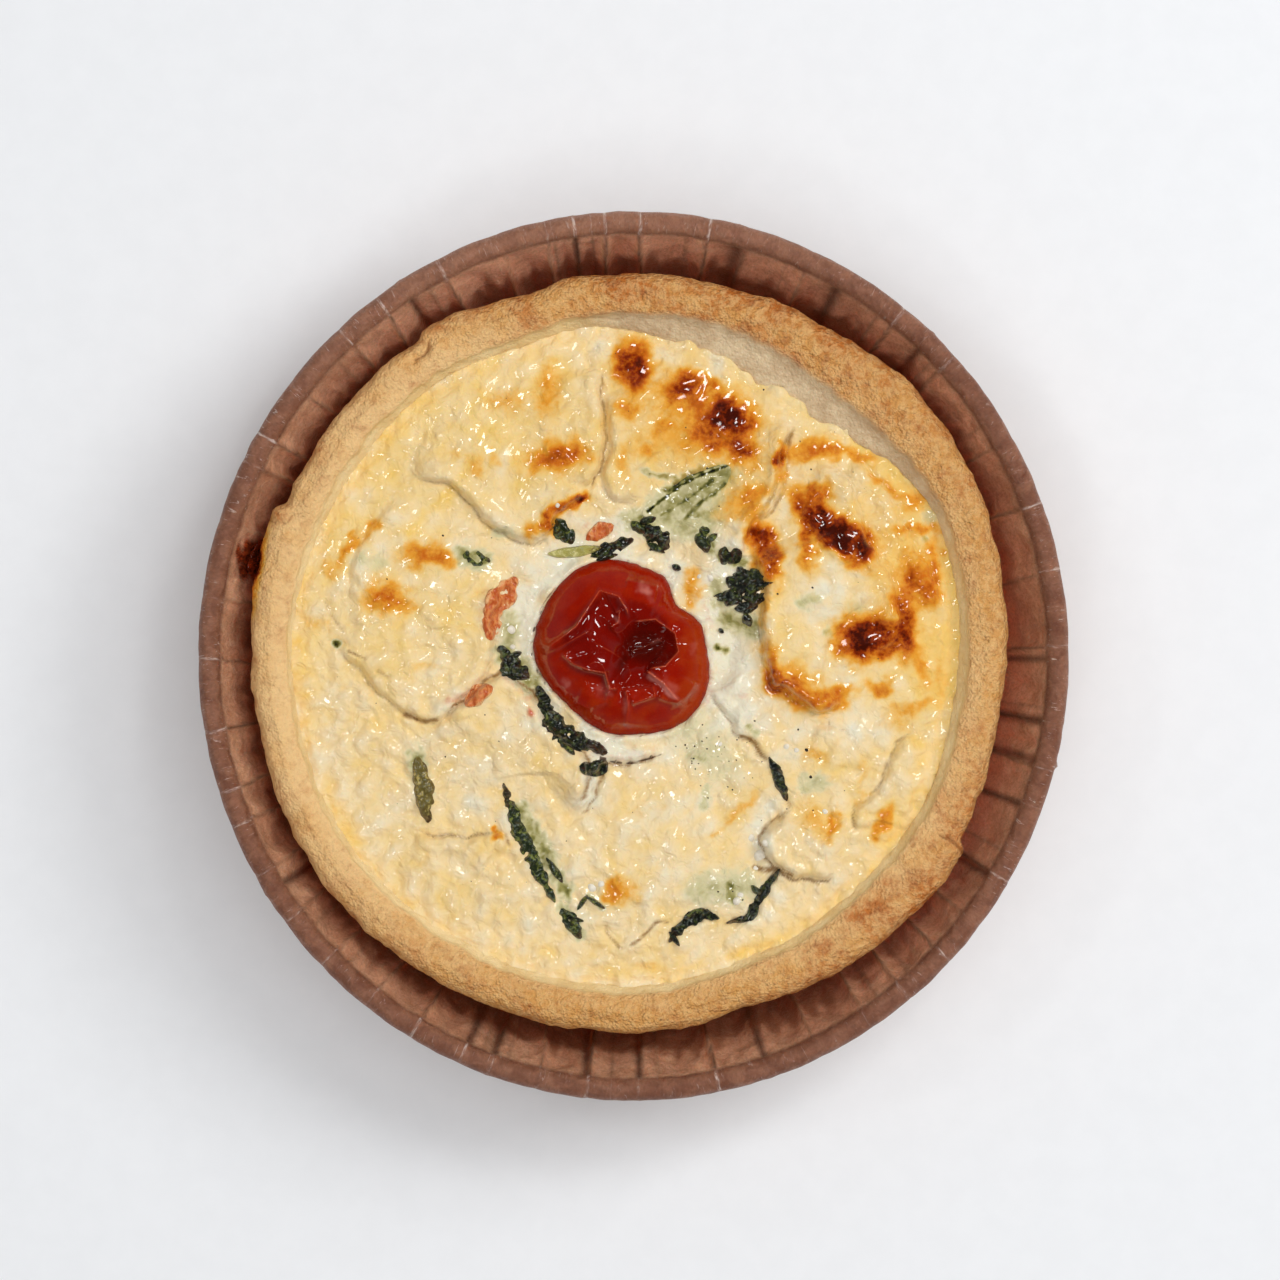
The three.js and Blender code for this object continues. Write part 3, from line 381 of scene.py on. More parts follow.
# Yellow lines of butter along the margin: half width, strength, path
YELLOW_STROKES = [
    (1.3, 0.7, [
        [50.6, -5.0], [51.6, 3.8], [51.4, 14.0], [48.6, 21.3], [42.0, 28.6], [35.6, 34.0],
    ]),
    (1.2, 0.1, [
        [-53.0, 14.0], [-53.4, 4.0], [-52.6, -8.0], [-49.4, -20.0], [-45.0, -30.0],
        [-36.0, -40.0],
    ]),
    (1.4, 0.12, [[-48.0, 20.8], [-42.0, 32.0], [-33.0, 40.0], [-22.0, 46.4], [-8.0, 50.0]]),
    (1.0, 0.2, [[46.0, -24.0], [38.0, -35.0], [26.0, -44.0], [12.0, -49.6], [-4.0, -51.0]]),
    (1.0, 0.4, [[-36.0, 20.0], [-30.0, 26.0], [-24.0, 33.0]]),
]

# Leaves that shine through the custard: half width, strength, path
GREEN_STROKES = [
    (0.35, 0.95, [[2.3, 23.2], [5.7, 26.0], [9.4, 28.4], [15.5, 30.7]]),
    (0.85, 0.82, [[5.6, 26.4], [8.0, 28.3], [10.8, 29.8]]),
    (0.55, 0.72, [[8.3, 22.0], [10.6, 24.4], [14.7, 27.5]]),
    (0.45, 0.66, [[10.8, 29.8], [13.6, 30.7]]),
    (0.4, 0.62, [[12.9, 17.6], [11.0, 21.2]]),
    (0.5, 0.55, [[1.3, 29.8], [4.0, 29.0], [6.8, 28.7]]),
    (0.9, 0.5, [[9.4, 22.4], [11.4, 23.0]]),
    (3.2, 0.5, [[5.0, 23.4], [10.0, 26.4], [14.6, 29.0]]),
    (2.6, 0.42, [[8.0, 20.8], [12.0, 22.4], [15.4, 25.0]]),
    (0.5, 0.72, [[4.4, 22.6], [8.4, 25.0], [12.6, 28.2]]),
    (0.7, 0.66, [[1.0, 22.4], [2.6, 21.0]]),
    (2.0, 0.45, [[-0.2, 22.0], [3.0, 20.6]]),
    (1.3, 0.45, [[11.4, 20.6], [12.4, 17.0]]),
    (1.7, 0.55, [[-27.4, 16.2], [-24.4, 15.4]]),
    (1.2, 0.28, [[-21.8, 20.0], [-19.6, 19.8]]),
    (1.7, 0.42, [[-20.0, 6.0], [-20.0, 2.6]]),
    (1.9, 0.55, [[-20.6, 0.6], [-16.6, -4.0]]),
    (1.4, 0.4, [[13.6, 11.4], [13.8, 8.8]]),
    (1.9, 0.55, [[15.4, 6.0], [19.2, 4.6]]),
    (1.1, 0.55, [[14.2, 16.0], [17.4, 15.0]]),
    (0.6, 0.8, [[13.6, 1.2], [14.8, 0.8]]),
    (1.1, 0.4, [[10.0, -16.2], [10.9, -16.2]]),
    (5.0, 0.22, [[9.0, -12.0], [14.0, -17.0]]),
    (0.9, 0.3, [[11.8, -21.0], [11.2, -24.2]]),
    (1.7, 0.34, [[27.6, -20.6], [30.0, -20.4]]),
    (3.2, 0.34, [[11.0, -37.6], [17.6, -36.8]]),
    (1.1, 0.6, [[15.4, -36.6], [16.0, -38.8]]),
    (1.5, 0.56, [[-18.2, -24.8], [-13.2, -33.4]]),
    (1.2, 0.6, [[-14.2, -32.0], [-10.6, -38.2]]),
    (1.0, 0.42, [[-11.6, -40.4], [-8.4, -45.0]]),
    (0.5, 0.5, [[-7.2, -38.6], [-4.8, -40.4]]),
    (1.5, 0.5, [[-35.0, -16.0], [-33.8, -21.6]]),
    (1.9, 0.26, [[-43.6, 15.6], [-41.0, 14.8]]),
    (0.5, 0.9, [[-47.9, 2.2], [-47.5, 1.8]]),
    (0.6, 0.75, [[44.8, 9.4], [44.9, 7.4]]),
    (0.5, 0.8, [[46.7, 18.9], [47.0, 18.6]]),
    (1.7, 0.28, [[47.6, 22.0], [49.0, 20.4]]),
    (0.8, 0.5, [[31.0, 4.0], [32.4, 3.6]]),
    (1.5, 0.28, [[35.0, 7.6], [36.6, 7.0]]),
    (0.7, 0.45, [[18.8, -11.6], [19.6, -12.4]]),
    (1.2, 0.34, [[29.4, 9.2], [27.0, 8.4]]),
]

GREEN_RAGGEDNESS = 0.6

# The thin charred line below the tomato
CHARRED_LINE = [(0.22, 1.0, [[-5.2, -16.5], [-1.8, -17.2], [1.0, -16.9], [4.4, -15.8]])]

# Pink stains of tomato juice and salmon: half width, strength, path
PINK_STROKES = [
    (1.1, 0.3, [[17.2, -6.2], [17.8, -6.8]]),
    (0.9, 0.4, [[12.0, -2.6], [11.8, -7.4]]),
    (1.0, 0.25, [[-9.0, -14.6], [-3.0, -16.4], [3.0, -15.8]]),
    (0.9, 0.35, [[-20.6, -3.2], [-16.8, -6.6]]),
    (0.9, 0.45, [[-29.6, -7.2], [-25.0, -6.2]]),
    (0.7, 0.3, [[-15.2, -2.0], [-15.6, 4.6]]),
    (0.6, 0.9, [[-16.6, -8.8], [-16.4, -9.2]]),
    (1.6, 0.3, [[-24.0, 10.0], [-23.6, 5.0]]),
    (1.2, 0.3, [[-7.6, 20.6], [-3.4, 19.4]]),
    (0.7, 0.3, [[11.0, 9.0], [12.4, 5.0]]),
    (1.5, 0.14, [[4.0, 50.4], [9.0, 50.0]]),
]

# Wrinkles that stand up on the tomato skin, measured from its middle: height, path
SKIN_FOLDS = [
    (0.55, [[-12.5, -0.5], [-6.9, 3.7], [-3.1, 9.5], [-0.1, 8.6], [1.3, 6.3], [1.6, 4.4]]),
    (0.4, [[-12.5, -0.8], [-9.0, 0.7], [-5.0, 2.9], [-4.1, 2.8]]),
    (0.6, [[1.6, 4.4], [5.8, 4.9], [9.0, 2.6], [9.5, -0.3], [7.4, -2.6], [4.1, -3.1]]),
    (0.7, [[4.1, -3.1], [7.2, -5.4], [10.0, -8.8]]),
    (0.5, [[5.8, -7.3], [10.0, -8.8], [12.4, -5.0]]),
    (0.5, [[-9.5, -0.3], [-7.4, -2.2], [-5.0, -3.2], [-2.2, -3.7], [-1.5, -6.3], [0.4, -6.0]]),
    (0.45, [[1.1, -6.0], [1.5, -9.2], [0.9, -12.4]]),
    (0.45, [[1.8, -8.7], [5.8, -7.3], [5.3, -5.4]]),
    (0.5, [[1.5, -0.3], [3.9, 0.4], [6.2, 1.6], [7.2, 1.1]]),
    (0.45, [[-0.8, 5.8], [0.1, 6.3], [-0.1, 4.4], [-1.5, 3.5]]),
    (0.35, [[-7.4, -8.3], [-5.0, -9.4], [-2.2, -8.3], [-1.5, -6.3]]),
    (0.3, [[6.4, 10.0], [3.4, 10.6], [1.0, 11.2]]),
]
# Painted highlights on the skin as pale pink patches, measured in the same way: half width,
# strength, path
SKIN_SHEEN = [
    (1.0, 0.6, [[3.6, 9.8], [4.4, 9.4]]), (0.6, 0.3, [[4.6, 8.6], [5.2, 7.8]]),
    (0.8, 0.4, [[-8.8, -5.0], [-8.4, -5.6]]), (1.1, 0.35, [[-3.0, -6.4], [-2.0, -6.9]]),
    (0.6, 0.55, [[5.0, -4.2], [6.0, -5.0], [7.6, -6.3], [9.0, -7.8]]),
    (0.9, 0.3, [[7.4, -5.0], [8.8, -6.4]]),
    (0.8, 0.3, [[11.6, -0.8], [12.0, 0.8]]), (0.6, 0.35, [[1.0, -8.0], [0.9, -10.0]]),
    (0.5, 0.35, [[-0.6, 5.2], [-0.2, 4.6]]), (0.5, 0.3, [[5.2, 1.0], [6.2, 1.3]]),
]
# Hollows between the wrinkles: x, y, half length, half width, turn, depth
SKIN_HOLLOWS = [
    (0.8, -1.2, 1.5, 3.4, -28, 1.5), (-3.6, 6.0, 2.6, 2.2, 30, 0.5),
    (7.6, -6.2, 2.2, 1.0, -42, 0.6), (-2.8, -6.4, 2.4, 1.6, 0, 0.5),
    (-6.4, -1.0, 2.4, 1.0, 14, 0.4), (3.4, -6.0, 1.8, 1.8, 0, 0.45),
    (-1.2, 2.4, 1.6, 1.6, 0, 0.9), (5.4, 1.9, 3.4, 2.2, 0, 0.6), (10.6, 2.0, 1.2, 2.4, 0, 0.25),
]
# Oval parts of the skin, measured in the same way: x, y, half length, half width, turn
DENT = (5.0, 1.0, 4.8, 3.9)
# Painted shade lies in the dent and in the deepest hollow
DARK_DENT = (4.2, 0.6, 4.4, 3.6)
DARK_HOLLOW = (0.9, -1.4, 1.2, 3.4, -28)
DEEP_RED = (0.2, 1.0, 9.4, 7.6, -12)
WRINKLED = (0.4, 0.2, 10.6, 9.4)


# Numbers and shapes


def smooth_step(low, high, value):
    share = np.clip((value - low) / (high - low), 0, 1)
    return share * share * (3 - 2 * share)


def bell(distance, reach):
    return np.exp(-((distance / reach) ** 2))


# Signed turn in degrees from one bearing to another, between -180 and 180
def turn_between(start, end):
    return (end - start + 180) % 360 - 180


# A rounded rise over a stretch of the outline
def swell(bearing, centre, half_width, amount):
    turn = np.abs(turn_between(centre, bearing))
    rise = 0.5 * amount * (1 + np.cos(np.pi * turn / half_width))
    return np.where(turn < half_width, rise, 0.0)


# A one-sided lap of pastry: it grows from the start to the peak and drops to the end
def lap(bearing, start, peak, end, amount):
    turn = turn_between(start, bearing)
    to_peak = turn_between(start, peak)
    to_end = turn_between(start, end)
    rising = np.clip(turn / to_peak, 0, 1)
    falling = np.clip((to_end - turn) / (to_end - to_peak), 0, 1)
    return np.where(turn > 0, amount * rising * falling, 0.0)


# An outline or an amount with several rises or laps added
def with_swells(values, bearing, rises):
    for centre, half_width, amount in rises:
        values = values + swell(bearing, centre, half_width, amount)
    return values


def with_laps(values, bearing, laps):
    for start, peak, end, amount in laps:
        values = values + lap(bearing, start, peak, end, amount)
    return values


def on_circle(radius, bearing):
    angle = np.radians(bearing)
    return radius * np.cos(angle), radius * np.sin(angle)


# Slopes drawn once, from which unevenness makes its lumps
SLOPE_COUNT = 256
SHUFFLE = np.random.default_rng(5).permutation(SLOPE_COUNT)
SLOPES = np.random.default_rng(6).uniform(0, 2 * np.pi, SLOPE_COUNT)
LAYER_SHIFT_X = 31.7
LAYER_SHIFT_Y = 17.9
LUMP_HEIGHT = 1.5


# Smooth lumps of the given length, between about -1 and 1. Each layer has other lumps.
def unevenness(x, y, length, layer=0):
    across = x / length + LAYER_SHIFT_X * layer
    up = y / length - LAYER_SHIFT_Y * layer
    column = np.floor(across).astype(int)
    row = np.floor(up).astype(int)
    part_across = across - column
    part_up = up - row

    def pull(right, above):
        place = SHUFFLE[(column + right) % SLOPE_COUNT] + row + above
        slope = SLOPES[SHUFFLE[place % SLOPE_COUNT]]
        return np.cos(slope) * (part_across - right) + np.sin(slope) * (part_up - above)

    ease_across = part_across**3 * (part_across * (6 * part_across - 15) + 10)
    ease_up = part_up**3 * (part_up * (6 * part_up - 15) + 10)
    low = pull(0, 0) + ease_across * (pull(1, 0) - pull(0, 0))
    high = pull(0, 1) + ease_across * (pull(1, 1) - pull(0, 1))
    return LUMP_HEIGHT * (low + ease_up * (high - low))


DRAW_FACTOR = 1664525
DRAW_STEP = 1013904223
DRAW_RANGE = 4294967296


# The same repeatable draws as the CAD source uses for the pleats
def seeded_random(seed):
    state = seed
    while True:
        state = (state * DRAW_FACTOR + DRAW_STEP) % DRAW_RANGE
        yield state / DRAW_RANGE


# Rounded curve from start to end that also heeds the places before and after
def curve_between(before, start, end, after, share):
    square = 2 * before - 5 * start + 4 * end - after
    cube = 3 * start - before - 3 * end + after
    return 0.5 * (2 * start + (end - before) * share + square * share**2 + cube * share**3)


# A path with rounded corners through the same places
def rounded_path(places, steps=4):
    places = np.array(places, float)
    first = 2 * places[0] - places[1]
    last = 2 * places[-1] - places[-2]
    ends = np.vstack([first, places, last])
    share = np.arange(steps)[:, None] / steps
    bends = [curve_between(*four, share) for four in zip(ends, ends[1:], ends[2:], ends[3:])]
    return np.vstack([*bends, places[-1:]])


# Distance to a path, distance with its side (left is positive) and share of the length
def nearest_on_path(x, y, path):
    steps = np.diff(path, axis=0)
    lengths = np.hypot(steps[:, 0], steps[:, 1])
    nearest = np.full(x.shape, 1e9)
    sideways = np.zeros(x.shape)
    share = np.zeros(x.shape)
    travelled = 0.0
    for start, step, length in zip(path, steps, lengths):
        along = ((x - start[0]) * step[0] + (y - start[1]) * step[1]) / length
        offset = (step[0] * (y - start[1]) - step[1] * (x - start[0])) / length
        held = np.clip(along, 0, length)
        distance = np.hypot(offset, along - held)
        tied = (np.abs(distance - nearest) < 1e-9) & (np.abs(offset) > np.abs(sideways))
        nearer = (distance < nearest - 1e-9) | tied
        nearest = np.where(nearer, distance, nearest)
        sideways = np.where(nearer, offset, sideways)
        share = np.where(nearer, (travelled + held) / lengths.sum(), share)
        travelled += length
    return nearest, nearest * np.sign(sideways), share


# Signed distance and share of the length along a path with rounded corners
def beside_path(x, y, places):
    return nearest_on_path(x, y, rounded_path(places))[1:]

def end_fade(share):
    return smooth_step(0, 0.1, share) * smooth_step(0, 0.1, 1 - share)


# Square of the distance from an oval spot in units of its half lengths
def oval(x, y, place_x, place_y, half_length, half_width, turn=0):
    angle = math.radians(turn)
    along = (x - place_x) * math.cos(angle) + (y - place_y) * math.sin(angle)
    across = (y - place_y) * math.cos(angle) - (x - place_x) * math.sin(angle)
    return (along / half_length) ** 2 + (across / half_width) ** 2


def bearing_of(x, y):
    return np.degrees(np.arctan2(y, x))


# Outlines that the CAD source gives


def lip_radius(bearing):
    angle = np.radians(bearing)
    radius = LIP_RADIUS + LIP_CENTRE_X * np.cos(angle) + LIP_CENTRE_Y * np.sin(angle)
    return with_swells(radius, bearing, LIP_SWELLS)


def ragged_lip_radius(bearing):
    radius = with_laps(lip_radius(bearing), bearing, LIP_LAPS)
    return radius + 0.3 * unevenness(*on_circle(LIP_GRAIN_RADIUS, bearing), 6.6, 1)


def rim_width(bearing):
    return with_swells(RIM_WIDTH, bearing, RIM_SWELLS)


def slope_width(bearing):
    return with_swells(INNER_SLOPE_WIDTH, bearing, SLOPE_SWELLS)


def cup_edge_radius(bearing):
    return lip_radius(bearing) - rim_width(bearing) - slope_width(bearing)


def custard_radius(bearing):
    return cup_edge_radius(bearing) - FIT_GAP


# How far the custard runs up the inner slope, with a ragged margin where the slope is wide
def custard_reach(bearing):
    x, y = on_circle(MARGIN_GRAIN_RADIUS, bearing)
    ragged = 0.8 + 1.5 * unevenness(x, y, 6.0, 22) + 0.9 * unevenness(x, y, 2.4, 23)
    tongues = swell(bearing, WIDE_SLOPE_BEARING, 50, 1.0) * np.clip(ragged, 0, 2.4)
    return BOND + swell(bearing, BOND_BELOW_BEARING, 120, BOND_BELOW) + tongues, tongues


def tomato_outline(bearing):
    return with_swells(TOMATO_RADIUS, bearing, TOMATO_SWELLS)


def from_tomato(x, y):
    return np.hypot(x - TOMATO_X, y - TOMATO_Y)


def bearing_round_tomato(x, y):
    return bearing_of(x - TOMATO_X, y - TOMATO_Y)


# Distance outside the tomato's outline, negative within it
def beyond_tomato(x, y):
    return from_tomato(x, y) - tomato_outline(bearing_round_tomato(x, y))


# Surface of the custard


# Height that the overlapping plates and cracks add, and the darkness of their seams: brown custard
# with painted shade
def plates_and_cracks(x, y):
    ragged = 0.45 * unevenness(x, y, 2.8, 3) + 0.22 * unevenness(x, y, 1.2, 4)
    height = np.zeros(x.shape)
    seam = np.zeros(x.shape)
    for rise, spread, darkness, places in PLATE_EDGES.values():
        signed, share = beside_path(x, y, places)
        signed = signed + ragged
        fade = end_fade(share)
        raised = smooth_step(-0.35, 0.6, signed) * bell(np.maximum(signed, 0), spread)
        rolled_edge = 0.3 * bell(signed - 1.4, 1.0)
        foot = bell(signed + 0.4, 0.36)
        height += fade * (rise * (raised + rolled_edge) - 0.3 * foot)
        seam = np.maximum(seam, darkness * fade * foot)
    for rise, reach, places in SHINY_RIDGES:
        signed, share = beside_path(x, y, places)
        height += rise * bell(signed, reach) * end_fade(share)
    for depth, reach, darkness, places in CRACKS.values():
        signed, share = beside_path(x, y, places)
        near = end_fade(share) * bell(signed + 0.4 * ragged, reach)
        height -= depth * near
        seam = np.maximum(seam, darkness * near)
    return height, seam


# Rounded curds with narrow creases between them
def curds(x, y):
    return np.abs(unevenness(x, y, CURD_LENGTH, 7))


# Curds where the custard broke as it set, and fine wrinkles where it stayed smooth
def curds_and_wrinkles(x, y):
    away = smooth_step(12, 26, from_tomato(x, y))
    curdled = 0.25 + 0.75 * away * smooth_step(10, -12, y + 0.3 * x)
    for plate in SMOOTH_PLATES:
        curdled *= 1 - 0.65 * np.exp(-(oval(x, y, *plate) ** 1.5))
    small_curds = np.abs(unevenness(x, y, SMALL_CURD_LENGTH, 8))
    bumps = CURD_HEIGHT * curds(x, y) + SMALL_CURD_HEIGHT * small_curds
    wrinkles = 0.4 * (0.3 - np.abs(unevenness(0.55 * (x + y), 1.3 * (x - y), 4.4, 9)))
    wrinkles += 0.3 * away * (0.3 - np.abs(unevenness(0.6 * x, 1.2 * y, 3.4, 10)))
    return curdled * bumps + (1 - 0.8 * curdled) * wrinkles


# How the custard sinks and rolls over along its margin
def margin_relief(x, y, radius, bearing):
    reach, tongues = custard_reach(bearing)
    inward = custard_radius(bearing) + reach - radius
    sunk = 0.9 - 0.3 * (reach - tongues) - 0.5 * unevenness(x, y, 2.1, 9)
    relief = 0.5 * tongues * bell(inward, 2.2) - sunk * bell(inward, 1.6)
    return relief - 0.35 * bell(inward - 1.5, 0.5) * (0.6 + unevenness(x, y, 4.0, 9))


def custard_surface(x, y):
    radius = np.hypot(x, y)
    height = CUSTARD_HEIGHT + CUSTARD_DOME * (1 - (radius / CUSTARD_SPAN) ** 2)
    for *place, rise in SWELLINGS:
        height += rise * np.exp(-1.2 * oval(x, y, *place))
    plates, seam = plates_and_cracks(x, y)
    height += plates
    beyond = beyond_tomato(x, y)
    height -= HOLLOW_ROUND_TOMATO * bell(np.maximum(beyond, 0), HOLLOW_REACH)
    height += (0.7 + 0.7 * unevenness(x, y, 3.2, 21)) * bell(beyond - 0.4, 0.9)
    height += curds_and_wrinkles(x, y)
    runny = bell(beyond - 3.5, 4.0)
    height += 0.34 * unevenness(x, y, 6.5, 5) + (0.2 + 0.3 * runny) * unevenness(x, y, 3.1, 6)
    for *spot, strength in BROWNED_SPOTS:
        height += BROWNED_RISE * strength * np.exp(-oval(x, y, *spot))
    return height + margin_relief(x, y, radius, bearing_of(x, y)), seam


def custard_height(x, y):
    return custard_surface(x, y)[0]


WIDEST_TEAR = 1.2


# Amount of paint that strokes leave at each point, with ragged edges
def painted(x, y, strokes, raggedness):
    rough = unevenness(x, y, 1.3, 11) + 0.6 * unevenness(x, y, 0.7, 12)
    amount = np.zeros(x.shape)
    for half_width, strength, places in strokes:
        distance = nearest_on_path(x, y, rounded_path(places))[0]
        torn = raggedness * min(half_width, WIDEST_TEAR) * rough
        amount = np.maximum(amount, strength * bell(distance + torn, half_width))
    return amount


def browning(x, y):
    wander_x = x + 1.1 * unevenness(x, y, 2.8, 13) + 0.45 * unevenness(x, y, 1.2, 14)
    wander_y = y + 1.1 * unevenness(x, y, 2.8, 15) + 0.45 * unevenness(x, y, 1.2, 16)
    left_pale = np.ones(x.shape)
    for *spot, strength in BROWNED_SPOTS:
        far = oval(wander_x, wander_y, *spot) / BROWNED_SPREAD**2
        left_pale *= 1 - np.minimum(0.98, strength) * np.exp(-(far**1.25))
    return 1 - left_pale


def yellowness(x, y):
    amount = 0.56 + 0.2 * unevenness(x, y, 7.5, 17) + 0.1 * unevenness(x, y, 2.6, 18)
    for *part, change in YELLOW_PARTS:
        amount += change * np.exp(-oval(x, y, *part))
    creamy = 0.4 + 0.4 * unevenness(x, y, 4.2, 20)
    amount -= creamy * bell(np.maximum(from_tomato(x, y) - TOMATO_RADIUS, 0), 4.2)
    # Painted shade on the curds: their tops paler and the hollows between them more yellow
    amount += 0.4 * (0.22 - curds(x, y))
    return np.clip(amount + painted(x, y, YELLOW_STROKES, 0.3), 0, 1)


# Meshes


def write_numbers(mesh, **numbers):
    for name, values in numbers.items():
        layer = mesh.attributes.new(name, "FLOAT", "POINT")
        layer.data.foreach_set("value", np.asarray(values, np.float32))


def places_of(mesh):
    places = np.zeros(len(mesh.vertices) * 3)
    mesh.vertices.foreach_get("co", places)
    return places.reshape(-1, 3)


def set_places(mesh, x, y, z):
    mesh.vertices.foreach_set("co", (np.stack([x, y, z], axis=1) * MM).ravel())
    mesh.update()


# A mesh made with bmesh operators, before its vertices are moved into place
def mesh_from(bm, name):
    mesh = bpy.data.meshes.new(name)
    bm.to_mesh(mesh)
    bm.free()
    mesh.polygons.foreach_set("use_smooth", [True] * len(mesh.polygons))
    return mesh


# Runs one bmesh operation on a mesh whose vertices are in place
def rework(mesh, change):
    bm = bmesh.new()
    bm.from_mesh(mesh)
    change(bm)
    bm.to_mesh(mesh)
    bm.free()


# Turns the faces outwards once the vertices are in place, and adds the piece to the scene
def finish_piece(mesh, name, material, nodes):
    rework(mesh, lambda bm: bmesh.ops.recalc_face_normals(bm, faces=bm.faces))
    piece = bpy.data.objects.new(name, mesh)
    bpy.context.scene.collection.objects.link(piece)
    mesh.materials.append(material)
    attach(piece, "root")
    if nodes:
        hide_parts(*nodes)


def open_edges(bm):
    return [edge for edge in bm.edges if edge.is_boundary]


# Number of the station or ring that the height of each vertex stands for
def numbered(places):
    return np.round(-places[:, 2]).astype(int)


SPIN_CUTS = 6


# A wire of numbered stations turned round the Z axis, with both open ends closed. The turn
# is made in wide steps whose level edges are then cut, which is quicker than narrow steps.
def turned_mesh(stations, columns, name):
    bm = bmesh.new()
    verts = [bm.verts.new((1, 0, -k)) for k in range(stations)]
    for start, end in zip(verts, verts[1:]):
        bm.edges.new((start, end))
    bmesh.ops.spin(
        bm, geom=bm.verts[:] + bm.edges[:], cent=(0, 0, 0), axis=(0, 0, 1), dvec=(0, 0, 0),
        angle=2 * math.pi, steps=columns // SPIN_CUTS, use_merge=True,
    )
    level = [edge for edge in bm.edges if edge.verts[0].co.z == edge.verts[1].co.z]
    bmesh.ops.subdivide_edges(bm, edges=level, cuts=SPIN_CUTS - 1)
    bmesh.ops.holes_fill(bm, edges=open_edges(bm), sides=0)
    mesh = mesh_from(bm, name)
    places = places_of(mesh)
    return mesh, numbered(places), bearing_of(places[:, 0], places[:, 1])


# An even square grid whose border is carried down by rings and closed underneath
def moulded_mesh(cells, rings, name):
    bm = bmesh.new()
    bmesh.ops.create_grid(bm, x_segments=cells, y_segments=cells, size=1)
    for ring in range(1, rings + 1):
        for part in bmesh.ops.extrude_edge_only(bm, edges=open_edges(bm))["geom"]:
            if isinstance(part, bmesh.types.BMVert):
                part.co.z = -ring
    bmesh.ops.holes_fill(bm, edges=open_edges(bm), sides=0)
    mesh = mesh_from(bm, name)
    places = places_of(mesh)
    return mesh, numbered(places), *disc_place(places[:, 0], places[:, 1])


# Share of the radius and bearing of a point of the square -1 to 1 laid out as a disc
def disc_place(across, up):
    share = np.maximum(np.abs(across), np.abs(up))
    wide = np.abs(across) >= np.abs(up)
    held = np.where(share > 0, share, 1)
    sideways = 45 * up / np.where(wide, np.where(across == 0, held, across), held)
    sideways += np.where(across < 0, 180, 0)
    upright = 90 - 45 * across / np.where(wide, held, np.where(up == 0, held, up))
    upright += np.where(up < 0, 180, 0)
    return share, np.where(wide, sideways, upright)


# Smooth curve through controls, each a radius and a height at every vertex
def along_controls(controls, station):
    radii = np.array([radius for radius, height in controls])
    heights = np.array([height for radius, height in controls])
    before = np.clip(np.floor(station).astype(int), 0, len(controls) - 2)
    share = station - before
    column = np.arange(len(station))

    def bend(values):
        start = values[before, column]
        end = values[before + 1, column]
        ahead = values[np.minimum(before + 2, len(controls) - 1), column]
        behind = values[np.maximum(before - 1, 0), column]
        return curve_between(behind, start, end, ahead, share)

    return bend(radii), bend(heights)


# Paper case


# How far each pleat's crease stands in and its panel stands out, as in the CAD source
def pleat_pushes():
    random = seeded_random(11)
    pleats = []
    for crease, following in zip(CASE_CREASES, CASE_CREASES[1:] + [CASE_CREASES[0] + 360]):
        middle = crease + (following - crease) * (0.4 + 0.25 * next(random))
        inward = -0.7 - 0.3 * next(random)
        outward = 0.4 + 0.5 * next(random)
        pleats.append((crease, middle, following, inward, outward))
    return pleats


def paper_line():
    wall = rounded_path(CASE_WALL, 5)
    roll_middle = CASE_RADIUS_Y - PAPER_THICKNESS / 2 - RIM_ROLL_RADIUS
    turns = np.radians(np.linspace(RIM_ROLL_START, RIM_ROLL_END, RIM_ROLL_STEPS + 1))
    roll = np.stack([
        roll_middle + RIM_ROLL_RADIUS * np.cos(turns),
        CASE_WALL_TOP + RIM_ROLL_RADIUS * np.sin(turns),
    ], axis=1)
    upper = wall[-1] + (roll[0] - wall[-1]) * np.linspace(0.2, 0.8, 4)[:, None]
    return np.vstack([wall, upper, roll])


# Both faces of the paper, from the foot outside over the rim to the floor inside
def paper_section():
    line = paper_line()
    along = np.gradient(line, axis=0)
    along /= np.hypot(along[:, 0], along[:, 1])[:, None]
    across = np.stack([along[:, 1], -along[:, 0]], axis=1) * PAPER_THICKNESS / 2
    outside = line + across
    inside = (line - across)[::-1]
    outside[0, 1] = 0
    inside[-1, 1] = PAPER_THICKNESS
    return np.vstack([outside, inside]), len(line)


